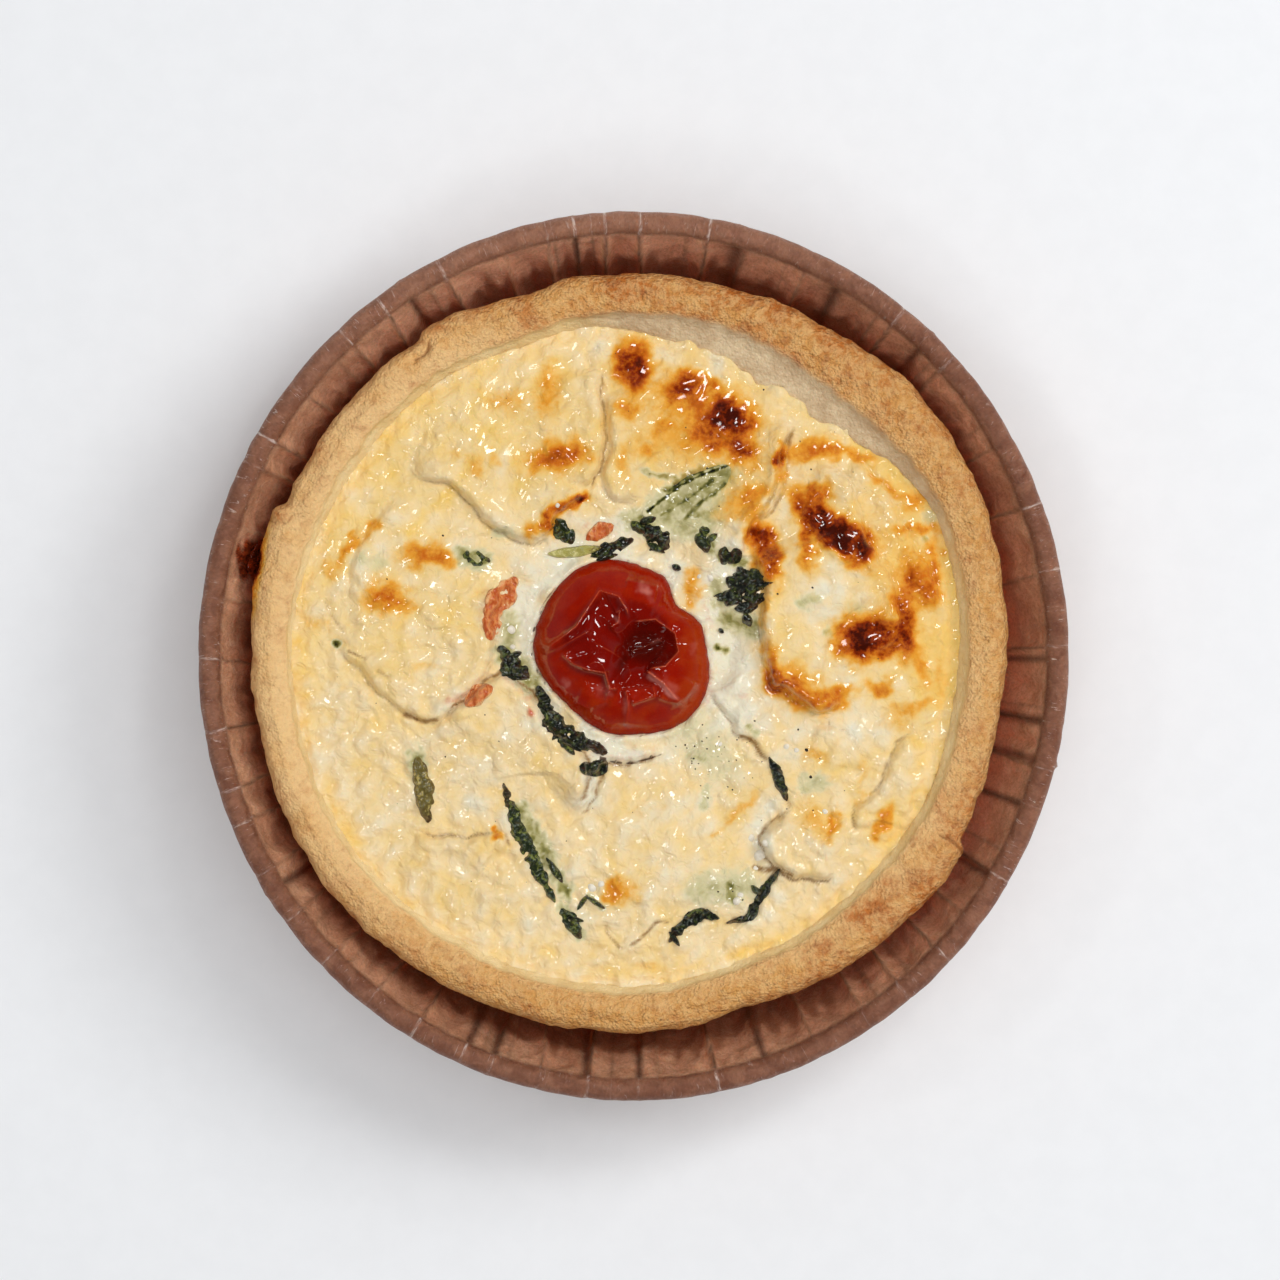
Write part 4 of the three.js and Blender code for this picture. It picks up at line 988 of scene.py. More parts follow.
# How far the pleats push the wall out, how deep each place lies in a crease, shade of the panels
def pleats(bearing, height):
    push = np.zeros(bearing.shape)
    crease = np.zeros(bearing.shape)
    panel = np.zeros(bearing.shape)
    pushes = pleat_pushes()
    draw = np.random.default_rng(21)
    for k, (start, middle, end, inward, outward) in enumerate(pushes):
        next_inward = pushes[(k + 1) % len(pushes)][3]
        turned = (bearing - start) % 360
        share_up = turned / (middle - start)
        share_down = (end - start - turned) / (end - middle)
        within = turned < end - start
        rising = inward + (outward - inward) * np.clip(share_up, 0, 1) ** PLEAT_ROUNDNESS
        eased_down = np.clip(share_down, 0, 1) ** PLEAT_ROUNDNESS
        falling = next_inward + (outward - next_inward) * eased_down
        push = np.where(within, np.where(share_up < 1, rising, falling), push)
        lean = CREASE_LEAN * draw.uniform(-1, 1)
        sharpness = draw.uniform(0.35, 1.0)
        panel = np.where(within, draw.uniform(-1, 1), panel)
        leaning = start + lean * (height - CREASE_PIVOT)
        off_crease = WALL_MM_PER_DEGREE * turn_between(leaning, bearing)
        off_crease += 0.25 * unevenness(np.full(height.shape, 3.0 * k), height, 1.6, 35)
        crease = np.maximum(crease, sharpness * bell(off_crease, CREASE_HALF_WIDTH))
        second = start + draw.uniform(*SECOND_CREASE_TURN)
        if draw.uniform() < SECOND_CREASE_CHANCE:
            off_crease = WALL_MM_PER_DEGREE * turn_between(second, bearing)
            strength = SECOND_CREASE_STRENGTH * sharpness
            thin_crease = strength * bell(off_crease, SECOND_CREASE_HALF_WIDTH)
            crease = np.maximum(crease, thin_crease)
    return push, crease, panel


def dark_pleats(bearing):
    pleat = np.zeros(bearing.shape)
    for place, half_width in DARK_PLEATS:
        off_pleat = WALL_MM_PER_DEGREE * turn_between(place, bearing)
        pleat = np.maximum(pleat, bell(off_pleat, half_width))
    return pleat


def paper_case(material):
    section, folded_at = paper_section()
    mesh, station, bearing = turned_mesh(len(section), CASE_COLUMNS, "paper_case")
    bearing = bearing % 360
    angle = np.radians(bearing)
    radius = section[station, 0]
    height = section[station, 1]
    push, crease, panel = pleats(bearing, height)
    pleat = dark_pleats(bearing)
    size = 1 / np.hypot(np.cos(angle) / CASE_RADIUS_X, np.sin(angle) / CASE_RADIUS_Y)
    flute = FLUTE_DEPTH * smooth_step(1, 14, height) * (1 - smooth_step(25, CASE_WALL_TOP, height))
    wave = RIM_WAVE * smooth_step(14, CASE_WALL_TOP, height)
    below_rim = 1 - smooth_step(RIM_FOOT, 30.6, height)
    groove = crease * (CREASE_DEPTH * smooth_step(8, 16, height) * below_rim)
    rim = smooth_step(30.2, 31.2, height)
    turned_mm = angle * UNROLLED_RADIUS
    crumple = 0.7 * np.abs(unevenness(turned_mm, 0.4 * height, 4.4, 31))
    crumple -= 0.45 * np.abs(unevenness(turned_mm, 0.6 * height, 3.0, 32))
    crumple += DARK_PLEAT_DEPTH * pleat
    crumple *= 1 - 0.85 * smooth_step(RIM_FOOT, CASE_WALL_TOP, height)
    seam_fade = smooth_step(0, 4, np.minimum(bearing, 360 - bearing))
    radius = radius * size / CASE_RADIUS_Y + (flute + wave) * push - groove + crumple * seam_fade
    height = height + wave * push - 0.12 * rim * crease
    height[section[station, 1] <= 0] = 0
    set_places(mesh, *on_circle(radius, bearing), height)
    stain = oval(bearing, radius, STAIN_BEARING, STAIN_RADIUS, *STAIN_SPREAD)
    stain += 0.7 * unevenness(turned_mm, height, 1.8, 33)
    # Low on the wall the paper is darkened with a scalloped edge: partly grease, partly painted
    # shade beneath the crust
    patchy = 7.0 * np.abs(unevenness(turned_mm, 0.25 * height, 3.6, 34))
    greasy = 1 - smooth_step(18, 22, height - patchy)
    # Painted light: a paler colour on two sides of the paper, on the sunlit side only low on the
    # wall
    sunlit = swell(bearing, *SUNLIT_SIDE) * (1 - smooth_step(16, 25, height))
    write_numbers(
        mesh,
        crease=crease,
        pleat=pleat,
        panel=panel,
        bright=swell(bearing, *BRIGHT_SIDE) + sunlit,
        rim=rim,
        inner=(station >= folded_at - INNER_ROLL_STEPS).astype(float),
        # Grease and painted shade low on the inner wall, with less of it on the dry side
        low=(1 - swell(bearing, *DRY_SIDE)) * greasy,
        crinkled=with_swells(0.4, bearing, CRINKLED_SIDES),
        stained=np.exp(-np.maximum(stain, 0)),
    )
    write_unrolled(mesh, bearing, section, station)
    finish_piece(mesh, "paper_case", material, ["paper_case"])


# A UV map in millimetres round the case and along the paper, with its join on a crease
def write_unrolled(mesh, bearing, section, station):
    steps = np.hypot(*np.diff(section, axis=0).T)
    along = np.concatenate([[0], np.cumsum(steps)])
    corner_verts = np.zeros(len(mesh.loops), int)
    mesh.loops.foreach_get("vertex_index", corner_verts)
    starts = np.zeros(len(mesh.polygons), int)
    sizes = np.zeros(len(mesh.polygons), int)
    mesh.polygons.foreach_get("loop_start", starts)
    mesh.polygons.foreach_get("loop_total", sizes)
    middle = np.repeat(bearing[corner_verts[starts]], sizes)
    order = np.argsort(np.repeat(starts, sizes), kind="stable")
    start_bearing = np.empty(len(corner_verts))
    start_bearing[order] = middle[order]
    turned = start_bearing + turn_between(start_bearing, bearing[corner_verts])
    layer = mesh.uv_layers.new(name="unrolled")
    flat = np.stack([np.radians(turned) * UNROLLED_RADIUS, along[station[corner_verts]]], axis=1)
    layer.data.foreach_set("uv", flat.ravel())


# Pastry


def crust_controls(bearing):
    lip = ragged_lip_radius(bearing)
    rim = rim_width(bearing)
    mouth = cup_edge_radius(bearing)
    grain_place = on_circle(LIP_GRAIN_RADIUS, bearing)
    crag = 0.4 * unevenness(*grain_place, 9, 41)
    ragged = 0.35 * unevenness(*grain_place, 3.0, 48)
    step = with_laps(0, bearing, TOP_STEPS)
    level = np.ones(bearing.shape)
    controls = [(radius * level, height * level) for radius, height in CRUST_OUTSIDE]
    return controls + [
        (lip - LIP_ROUNDING, (LIP_HEIGHT - LIP_UNDERCUT) * level),
        (lip, LIP_HEIGHT + crag),
        (lip - LIP_ROUNDING, LIP_HEIGHT + LIP_BROW + crag),
        (lip - TOP_START, CRUST_TOP + crag + step),
        (lip - TOP_MIDDLE * rim, CRUST_TOP + TOP_MIDDLE_RISE - 0.4 * crag + 0.6 * step),
        (lip_radius(bearing) - rim - ragged, (CRUST_TOP - RIM_DROP) * level),
        (
            mouth + SLOPE_MIDDLE * slope_width(bearing) - ragged,
            (CUP_EDGE_HEIGHT + SLOPE_MIDDLE_RISE) * level,
        ),
        (mouth, CUP_EDGE_HEIGHT * level),
        (mouth - CUP_WALL_INSET, CUP_WALL_HEIGHT * level),
        (CUP_FLOOR_RADIUS * level, CUP_HEEL_HEIGHT * level),
        ((CUP_FLOOR_RADIUS - CUP_HEEL) * level, CRUST_FLOOR * level),
    ]


# Stations number the controls: 6 is the lip, 10 the inner edge of the rim, 12 the mouth of the
# cup. They stand close where the crust is seen.
def crust_stations():
    outside = np.arange(0, 5, 0.5)
    lip = np.arange(5, 8, 1 / 8)
    top = np.arange(8, 12, 1 / 12)
    inside = np.arange(12, 15.01, 0.5)
    return np.concatenate([outside, lip, top, inside])


def pastry_crust(material):
    stations = crust_stations()
    mesh, number, bearing = turned_mesh(len(stations), CRUST_COLUMNS, "pastry_crust")
    station = stations[number]
    radius, height = along_controls(crust_controls(bearing), station)
    x, y = on_circle(radius, bearing)
    shown = smooth_step(5, 6, station) * (1 - smooth_step(11.6, 12, station))
    shift_x, shift_y = on_circle(np.clip(CRUST_TOP - height, 0, 6), bearing)
    wide = (x + shift_x, y + shift_y)
    crumbs = 0.2 * unevenness(*wide, 3.4, 42) + 0.1 * unevenness(*wide, 1.5, 43)
    crumbs += 0.05 * unevenness(*wide, 0.7, 44)
    edge = bell(station - 6.2, 0.9)
    radius = radius + shown * edge * (crumbs * 1.2 + 0.3 * unevenness(x, y, 5.5, 45))
    crack = painted(x, y, RIM_CRACKS, 0.3)
    height = height + shown * smooth_step(6.5, 8, station) * crumbs - 0.5 * crack * shown
    set_places(mesh, *on_circle(radius, bearing), height)
    outer = 1 - smooth_step(6.2, 9.0, station + 0.5 * unevenness(x, y, 3.2, 46))
    tanned = with_swells(0.3 * outer - 0.1, bearing, TANNED_SIDES)
    tanned += 0.35 * unevenness(x, y, 5.5, 47)
    # Paler crust towards the inner edge and on some sides; the side about bearing 130 is painted
    # light
    pale = with_swells(0.25 * smooth_step(8.6, 10, station), bearing, PALE_SIDES)
    burnt = bell(turn_between(BURNT_BEARING, bearing), 6.5) * (1 - smooth_step(5.9, 7.6, station))
    write_numbers(
        mesh,
        tanned=np.clip(tanned, 0, 1),
        burnt=0.8 * burnt,
        slope=smooth_step(9.8, 10.6, station),
        glazed=1 - smooth_step(44, 30, np.abs(turn_between(GLAZED_BEARING, bearing))),
        crack=crack,
        pale=np.clip(pale, 0, 1),
    )
    finish_piece(mesh, "pastry_crust", material, ["pastry_crust"])


# Custard


def custard(material):
    mesh, ring, share, bearing = moulded_mesh(CUSTARD_CELLS, 3, "custard")
    radius = np.choose(ring, [
        share * (custard_radius(bearing) + custard_reach(bearing)[0]),
        custard_radius(bearing) - CUP_WALL_INSET,
        CUP_FLOOR_RADIUS - FIT_GAP,
        CUP_FLOOR_RADIUS - CUP_HEEL - FIT_GAP,
    ])
    x, y = on_circle(radius, bearing)
    height, seam = custard_surface(x, y)
    beyond = beyond_tomato(x, y)
    under_tomato = TOMATO_BOTTOM - 0.5 + 4.6 * smooth_step(-1.6, 0.2, beyond)
    height = np.where(beyond < 0, np.minimum(height, under_tomato), height)
    lowered = [height, CUP_WALL_HEIGHT, CUP_HEEL_HEIGHT, CRUST_FLOOR + FIT_GAP]
    set_places(mesh, x, y, np.choose(ring, lowered))
    round_bearing = bearing_round_tomato(x, y)
    charred = with_swells(0, round_bearing, CHARRED_SIDES)
    flecks = smooth_step(0.0, 0.4, unevenness(x, y, 1.1, 19) + 0.35)
    scorch = charred * bell(beyond - 0.15, 0.28) * flecks
    write_numbers(
        mesh,
        browning=browning(x, y) * (ring == 0),
        yellowness=yellowness(x, y),
        greenness=painted(x, y, GREEN_STROKES, GREEN_RAGGEDNESS),
        pinkness=painted(x, y, PINK_STROKES, 0.35),
        # Painted shade in the groove along the custard's margin is added to the seams
        seam=np.clip(seam + 0.16 * bell(custard_radius(bearing) - radius, 1.1), 0, 1),
        scorch=np.maximum(scorch, painted(x, y, CHARRED_LINE, 1.2)),
    )
    finish_piece(mesh, "custard", material, ["custard"])


# Tomato


def tomato_surface(x, y, share):
    dome = (1 - np.clip(share, 0, 1) ** DOME_FLATNESS) ** DOME_ROUNDNESS
    height = TOMATO_WAIST + TOMATO_RISE * dome
    height -= TOMATO_DENT * np.exp(-(oval(x, y, *DENT) ** DENT_STEEPNESS))
    held = 1 - share**4
    for *place, depth in SKIN_HOLLOWS:
        height -= held * depth * np.exp(-oval(x, y, *place))
    fold = np.zeros(x.shape)
    shadow = np.zeros(x.shape)
    for rise, places in SKIN_FOLDS:
        distance, signed, along = nearest_on_path(x, y, np.array(places))
        fade = end_fade(along)
        ridge = np.exp(-np.sqrt(distance**2 + 0.004) / FOLD_RIDGE_WIDTH) * fade
        reach = np.where(signed > 0, FOLD_RAISED_REACH, FOLD_LOW_REACH)
        steep = np.exp(-distance / reach) * fade
        height += held * rise * (0.8 * ridge + 1.5 * steep)
        # A paler line along each ridge: a painted highlight
        line = np.exp(-distance / FOLD_LINE_WIDTH) * fade
        fold = np.maximum(fold, line * rise / FULL_FOLD_RISE)
        shaded = fade * bell(signed + 0.7, 0.6)
        shadow = np.maximum(shadow, shaded * rise / FULL_FOLD_RISE)
    wrinkled = held * np.exp(-(oval(x, y, *WRINKLED) ** 2))
    creased = np.abs(unevenness(x, y, 6.4, 54))
    fine_creased = np.abs(unevenness(x, y, 3.0, 55))
    height += wrinkled * (1.3 * (0.3 - creased) + 0.25 * (0.3 - fine_creased))
    fold = np.maximum(fold, 0.55 * wrinkled * bell(creased, 0.03))
    height += held * 0.3 * unevenness(x, y, 5.6, 51)
    return height, fold * held, shadow * held


def tomato_half(material):
    mesh, ring, share, bearing = moulded_mesh(TOMATO_CELLS, 2, "tomato")
    outline = tomato_outline(bearing) + 0.18 * unevenness(bearing / 2, share * 0, 3.0, 53)
    radius = np.choose(ring, [share * outline, outline - 0.2, outline - 1.2])
    x, y = on_circle(radius, bearing)
    top, fold, shadow = tomato_surface(x, y, share)
    height = np.choose(ring, [top, TOMATO_WAIST - 1.6, TOMATO_BOTTOM])
    set_places(mesh, x + TOMATO_X, y + TOMATO_Y, height)
    # Painted shade in the dent and in the deepest hollow
    dark_dent = np.exp(-(oval(x, y, *DARK_DENT) ** DARK_DENT_STEEPNESS))
    dark_hollow = 0.8 * np.exp(-oval(x, y, *DARK_HOLLOW))
    orange = smooth_step(6, 14, x) * (y < 9) + 0.5 * smooth_step(-4, -12, y)
    orange += 0.7 * smooth_step(-9, -13, x)
    write_numbers(
        mesh,
        fold=fold,
        shadow=shadow,
        deep=np.exp(-(oval(x, y, *DEEP_RED) ** DEEP_RED_STEEPNESS)),
        hollow=np.maximum(dark_dent, dark_hollow),
        skirt=np.where(ring == 0, smooth_step(0.84, 1.0, share), 1),
        sheen=painted(x, y, SKIN_SHEEN, 0.5),
        orange=np.clip(orange, 0, 1),
    )
    finish_piece(mesh, "tomato", material, ["tomato"])


# Leaves, stalk and flakes

STRIP_CELL = 0.15
STRIP_STEP = 0.3


# A thin crinkled strip with torn edges that lies in the custard
def crinkled_strip(
    name, nodes, material, slot, places, half_width, crinkle, sink, thickness, seed
):
    path = rounded_path(places, 8)
    lengths = np.concatenate([[0], np.cumsum(np.hypot(*np.diff(path, axis=0).T))])

    def on_path(distance):
        return np.array([np.interp(distance, lengths, path[:, axis]) for axis in (0, 1)])

    bm = bmesh.new()
    rows = max(12, int(lengths[-1] / STRIP_CELL))
    columns = max(8, int(2 * half_width / STRIP_CELL))
    bmesh.ops.create_grid(bm, x_segments=rows, y_segments=columns, size=1)
    mesh = mesh_from(bm, name)
    grid = places_of(mesh)
    share = (grid[:, 0] + 1) / 2
    side = grid[:, 1]
    travelled = share * lengths[-1]
    x_line, y_line = on_path(travelled)
    run_x, run_y = on_path(travelled + STRIP_STEP) - on_path(travelled - STRIP_STEP)
    run = np.hypot(run_x, run_y)
    fullness = np.clip(np.sin(np.pi * share), 0, 1) ** 0.6
    edge_side = np.sign(side) * 3
    torn = 1 + 0.4 * crinkle * unevenness(travelled, edge_side, 1.9, seed)
    torn += 0.3 * np.maximum(crinkle - 0.6, 0) * unevenness(travelled, edge_side, 0.7, seed)
    width = 1.2 * half_width * (0.1 + 0.9 * fullness) * torn
    x = x_line - run_y / run * side * width
    y = y_line + run_x / run * side * width
    folds = 0.9 - 0.8 * np.abs(unevenness(x, y, 1.9, seed + 1))
    folds += 0.2 * unevenness(x, y, 0.8, seed + 2)
    lift = crinkle * (folds - 0.62) + 0.5 - sink - 0.4 * np.abs(side) ** 4
    set_places(mesh, x, y, custard_height(x, y) + lift)
    greenness = painted(x, y, GREEN_STROKES, GREEN_RAGGEDNESS)
    write_numbers(mesh, side=np.abs(side), share=share, folds=folds, greenness=greenness)
    rework(
        mesh, lambda bm: bmesh.ops.solidify(bm, geom=bm.faces[:], thickness=thickness * MM)
    )
    finish_piece(mesh, name, material, nodes)


# Piece, green or dark, half width, crinkle, sink, path
LEAVES = [
    ("leaf_north", "dark", 1.5, 1.3, 0.3, [[1.4, 20.6], [3.4, 19.0], [5.8, 17.4]]),
    ("leaf_north_east", "green", 1.0, 1.0, 0.3, [[11.8, 21.2], [11.0, 19.0], [11.9, 16.6]]),
    ("leaf_above_tomato", "dark", 1.0, 0.9, 0.25, [[-6.8, 16.0], [-3.4, 17.4], [0, 18.8]]),
    ("leaf_west", "dark", 1.6, 1.1, 0.3, [[-21.6, 1.6], [-19.6, -1.2], [-16.8, -3.6]]),
    ("leaf_below_tomato", "dark", 1.3, 1.3, 0.2, [
        [-15.4, -4.8], [-13.9, -9.0], [-10.6, -12.9], [-4.2, -15.6],
    ]),
    ("leaf_south", "dark", 1.2, 0.8, 0.1, [[-8.6, -17.6], [-6.4, -18.2], [-4.2, -17.0]]),
    ("leaf_crumpled", "dark", 2.6, 2.0, 0.3, [[17.2, 13.8], [17.6, 10.6], [18.4, 7.4]]),
    ("leaf_corner", "dark", 1.3, 1.0, 0.25, [[13.6, 16.9], [15.6, 16.0], [17.4, 16.6]]),
    ("leaf_long", "green", 1.1, 1.1, 0.25, [
        [-12.6, -39.6], [-16.2, -32.6], [-18.6, -27.2], [-20.9, -20.4],
    ]),
    ("leaf_foot", "green", 1.2, 1.0, 0.35, [[-11.6, -40.6], [-9.8, -43.2], [-8.4, -45.4]]),
    ("leaf_slit", "dark", 0.8, 1.1, 0.15, [[21.8, -16.4], [23.0, -19.2], [24.7, -23.2]]),
    ("leaf_crack_east", "dark", 0.65, 1.1, 0.1, [
        [23.4, -34.3], [20.2, -39.1], [18.4, -42.0], [14.9, -42.9],
    ]),
    ("leaf_crack_west", "dark", 0.85, 1.3, 0.15, [
        [13.8, -42.2], [11.0, -41.6], [8.4, -42.8], [5.7, -46.0],
    ]),
    ("leaf_by_flap", "green", 1.3, 1.1, 0.3, [[-12.4, 22.0], [-11.4, 20.0], [-9.8, 18.0]]),
    ("leaf_north_west", "green", 1.0, 1.2, 0.45, [[-27.6, 16.4], [-25.4, 15.6], [-23.0, 15.2]]),
]

# Scraps of leaf beside the named ones: half width, crinkle, green or dark, path
LEAF_SCRAPS = [
    (0.9, 1.2, "dark", [[16.7, 14.3], [18.5, 11.4]]),
    (1.0, 1.3, "dark", [[14.9, 12.6], [17.8, 10.2]]),
    (0.8, 1.3, "dark", [[14.4, 9.4], [16.9, 8.5]]),
    (0.9, 1.3, "dark", [[17.7, 9.0], [20.9, 10.9]]),
    (0.8, 1.2, "dark", [[16.2, 7.6], [20.0, 8.0]]),
    (0.8, 1.2, "green", [[18.8, 14.0], [20.6, 11.8]]),
    (0.7, 0.8, "dark", [[17.8, 6.9], [18.8, 4.7]]),
    (0.45, 0.7, "dark", [[6.2, 14.6], [7.6, 13.8]]),
    (0.6, 0.8, "dark", [[14.0, 16.4], [16.2, 14.9]]),
    (0.35, 0.6, "dark", [[13.7, 4.4], [14.5, 3.7]]),
    (0.7, 0.9, "green", [[-0.4, 21.6], [1.8, 19.6]]),
    (0.6, 0.9, "dark", [[1.0, 21.4], [3.6, 22.2]]),
    (0.5, 0.8, "green", [[2.2, 18.2], [5.0, 16.6]]),
    (0.5, 0.8, "green", [[11.6, 18.2], [13.4, 19.6]]),
    (0.5, 0.7, "dark", [[-6.0, 15.4], [-2.6, 16.3]]),
    (0.6, 0.9, "green", [[-13.0, 21.2], [-11.0, 18.6]]),
    (0.5, 0.7, "green", [[-12.0, -13.0], [-9.4, -15.8]]),
    (0.5, 0.9, "dark", [[-10.6, -15.0], [-7.6, -13.8]]),
    (0.45, 0.8, "green", [[-14.9, -8.4], [-12.4, -12.0]]),
    (0.5, 0.8, "dark", [[-20.6, -0.4], [-18.0, 0.6]]),
    (0.5, 0.7, "green", [[-14.0, -32.4], [-11.4, -36.4]]),
    (0.4, 0.6, "green", [[-9.0, -40.8], [-7.4, -38.4]]),
    (0.35, 0.5, "green", [[-7.6, -38.6], [-4.6, -40.6]]),
    (0.5, 0.9, "green", [[18.9, -36.9], [20.4, -38.4]]),
    (0.4, 0.6, "dark", [[-10.6, -42.0], [-8.0, -42.6]]),
    (0.5, 0.6, "green", [[8.4, -42.0], [11.4, -40.6]]),
    (0.4, 0.6, "dark", [[5.8, -44.4], [7.4, -46.6]]),
]
# Sink and thickness of the scraps, and thickness of the leaves
SCRAP_SINK = 0.1
SCRAP_THICKNESS = 0.2
LEAF_THICKNESS = 0.25
# Seeds of the unevenness; each strip uses three
FIRST_LEAF_SEED = 60
FIRST_SCRAP_SEED = 160
SEED_STEP = 3

# Strips with a finish of their own: finish, slot, path, half width, crinkle, sink, thickness,
# seed of the unevenness
OTHER_STRIPS = {
    "leaf_under_cream": (
        "coated_leaf", "coated_leaf", [[1.4, 22.8], [7.4, 24.8], [12.0, 27.6], [15.4, 30.4]],
        2.7, 0.3, 0.3, 0.3, 121,
    ),
    "leaf_pointed": (
        "pale_leaf", "pale_leaf", [[-34.8, -16.2], [-33.8, -21.0], [-33.0, -26.8]],
        1.35, 0.6, 0.15, 0.3, 124,
    ),
    "stalk": (
        "pale_stalk", "pale_leaf", [[-13.8, 16.4], [-10.4, 16.6], [-5.2, 17.4]],
        0.75, 0.3, 0.05, 0.4, 127,
    ),
    "salmon_west": (
        "salmon", "salmon", [[-23.0, 2.4], [-22.6, 7.2], [-20.6, 10.2], [-18.8, 12.6]],
        1.7, 0.9, 0.2, 0.5, 131,
    ),
    "salmon_south_west": (
        "salmon", "salmon", [[-27.0, -7.9], [-24.8, -6.2], [-22.6, -4.9]],
        1.3, 0.7, 0.1, 0.5, 134,
    ),
    "salmon_north": (
        "salmon", "salmon", [[-7.6, 18.7], [-5.4, 19.9], [-3.2, 21.0]],
        1.1, 0.8, 0.15, 0.5, 137,
    ),
}


def leaves_and_flakes(finishes):
    for number, (name, tint, half_width, crinkle, sink, places) in enumerate(LEAVES):
        crinkled_strip(
            name, [name], finishes[f"{tint}_leaf"], "leaf", places, half_width, crinkle, sink,
            LEAF_THICKNESS, seed=FIRST_LEAF_SEED + SEED_STEP * number,
        )
    for number, (half_width, crinkle, tint, places) in enumerate(LEAF_SCRAPS):
        crinkled_strip(
            f"leaf_scrap_{number + 1}", [], finishes[f"{tint}_leaf"], "leaf", places, half_width,
            crinkle, SCRAP_SINK, SCRAP_THICKNESS, seed=FIRST_SCRAP_SEED + SEED_STEP * number,
        )
    for name, (finish, slot, places, *shape) in OTHER_STRIPS.items():
        crinkled_strip(name, [name], finishes[finish], slot, places, *shape)


# Small drops of set cream: x, y, radius
CREAM_DROPS = [
    (20.4, -32.2, 1.15), (18.8, -29.2, 0.75), (21.2, -30.0, 0.6), (19.6, -34.2, 0.6),
    (30.8, -25.0, 0.5), (-6.6, -37.2, 0.9), (-5.2, -36.6, 0.6), (16.6, -39.4, 0.7),
    (17.2, -38.4, 0.55), (-19.8, 4.2, 0.8), (13.9, -14.2, 0.5), (4.2, 18.7, 0.5),
    (-19.4, 1.4, 0.5), (-12.2, 24.2, 0.45), (-9.8, 16.4, 0.6), (24.6, -14.6, 0.6),
    (26.2, -15.2, 0.5), (-11.2, 18.8, 0.6), (12.4, 12.6, 0.6), (10.6, 12.8, 0.5),
]

# How far small balls sink in, as a share of their radius, and how uneven they are
BALL_SINK = 0.35
BALL_BULGE = 0.12


def small_balls(name, balls, material, flatness, layer):
    bm = bmesh.new()
    columns, rows, radii = np.array(balls).T
    heights = custard_height(columns, rows) - BALL_SINK * radii
    for place_x, place_y, radius, height in zip(columns, rows, radii, heights):
        made = bmesh.ops.create_icosphere(bm, subdivisions=2, radius=radius)["verts"]
        bmesh.ops.scale(bm, verts=made, vec=(1, 1, flatness))
        bmesh.ops.translate(bm, verts=made, vec=(place_x, place_y, height))
    mesh = mesh_from(bm, name)
    x, y, z = places_of(mesh).T
    bulge = BALL_BULGE * unevenness(x, y, 0.7, layer)
    set_places(mesh, x + bulge, y - bulge, z)
    finish_piece(mesh, name, material, [])


# Specks of pepper with a place of their own: x, y, radius
PLACED_SPECKS = [
    (27.8, -15.1, 0.32), (28.4, -19.4, 0.28), (11.8, 30.2, 0.2), (28.5, 30.0, 0.16),
    (8.4, 36.7, 0.16), (20.9, 42.8, 0.2), (28.6, 11.0, 0.18), (23.0, 10.0, 0.16),
    (17.5, -39.2, 0.22), (13.6, -37.9, 0.16), (15.9, -37.8, 0.16), (24.6, -24.6, 0.16),
    (28.8, -24.8, 0.16), (-30.6, 19.3, 0.2), (-30.2, -16.2, 0.16), (-23.9, -9.4, 0.14),
    (26.5, -11.9, 0.2), (19.4, -10.4, 0.18),
]
# Specks strewn thickly on one patch, and thinly over the whole custard
PATCH_SPECKS = 36
PATCH_MIDDLE = (13.6, -16.2)
PATCH_SPREAD = (4.6, 3.4)
LOOSE_SPECKS = 44
LOOSE_REACH = 50


def pepper_specks():
    draw = np.random.default_rng(71)
    specks = list(PLACED_SPECKS)
    for _ in range(PATCH_SPECKS):
        place_x, place_y = draw.normal(PATCH_MIDDLE, PATCH_SPREAD)
        specks.append((place_x, place_y, draw.uniform(0.08, 0.17)))
    for _ in range(LOOSE_SPECKS):
        turn = draw.uniform(0, 2 * np.pi)
        far = LOOSE_REACH * math.sqrt(draw.uniform(0.12, 0.95))
        specks.append((far * math.cos(turn), far * math.sin(turn), draw.uniform(0.06, 0.13)))
    return specks


# A glossy blob of burnt juice on the inner wall of the case
def juice_blob(material):
    bm = bmesh.new()
    bmesh.ops.create_icosphere(bm, subdivisions=5, radius=1)
    mesh = mesh_from(bm, "burnt_juice")
    across, along, through = places_of(mesh).T
    rough = unevenness(across * 2.2, along * 2.2 + through, 1.0, 81)
    rough += 0.5 * unevenness(across * 2.2, along * 2.2 + through, 0.45, 82)
    around = BLOB_HALF_WIDTH * across * (1 + 0.3 * rough)
    height = STAIN_HEIGHT + BLOB_HALF_HEIGHT * along * (1 + 0.3 * rough)
    thick = BLOB_THICKNESS * (1 + through) * (1 + 0.4 * rough)
    wall_radii, wall_heights = np.array(CASE_WALL).T
    wall = np.interp(height, wall_heights, wall_radii) * CASE_RADIUS_X / CASE_RADIUS_Y
    radius = wall - 0.5 - thick
    angle = math.radians(STAIN_BEARING)
    x = radius * math.cos(angle) - around * math.sin(angle)
    y = radius * math.sin(angle) + around * math.cos(angle)
    set_places(mesh, x, y, height)
    finish_piece(mesh, "burnt_juice", material, [])


# Finishes


# A colour as a screen shows it, 0 to 255, turned into amounts of light
def colour(red, green, blue):
    light = []
    for value in (red, green, blue):
        part = value / 255
        light.append(((part + 0.055) / 1.055) ** 2.4 if part > 0.04 else part / 12.92)
    return (*light, 1)


MILK = colour(234, 226, 200)
CREAM = colour(241, 216, 168)
BUTTER = colour(241, 202, 114)
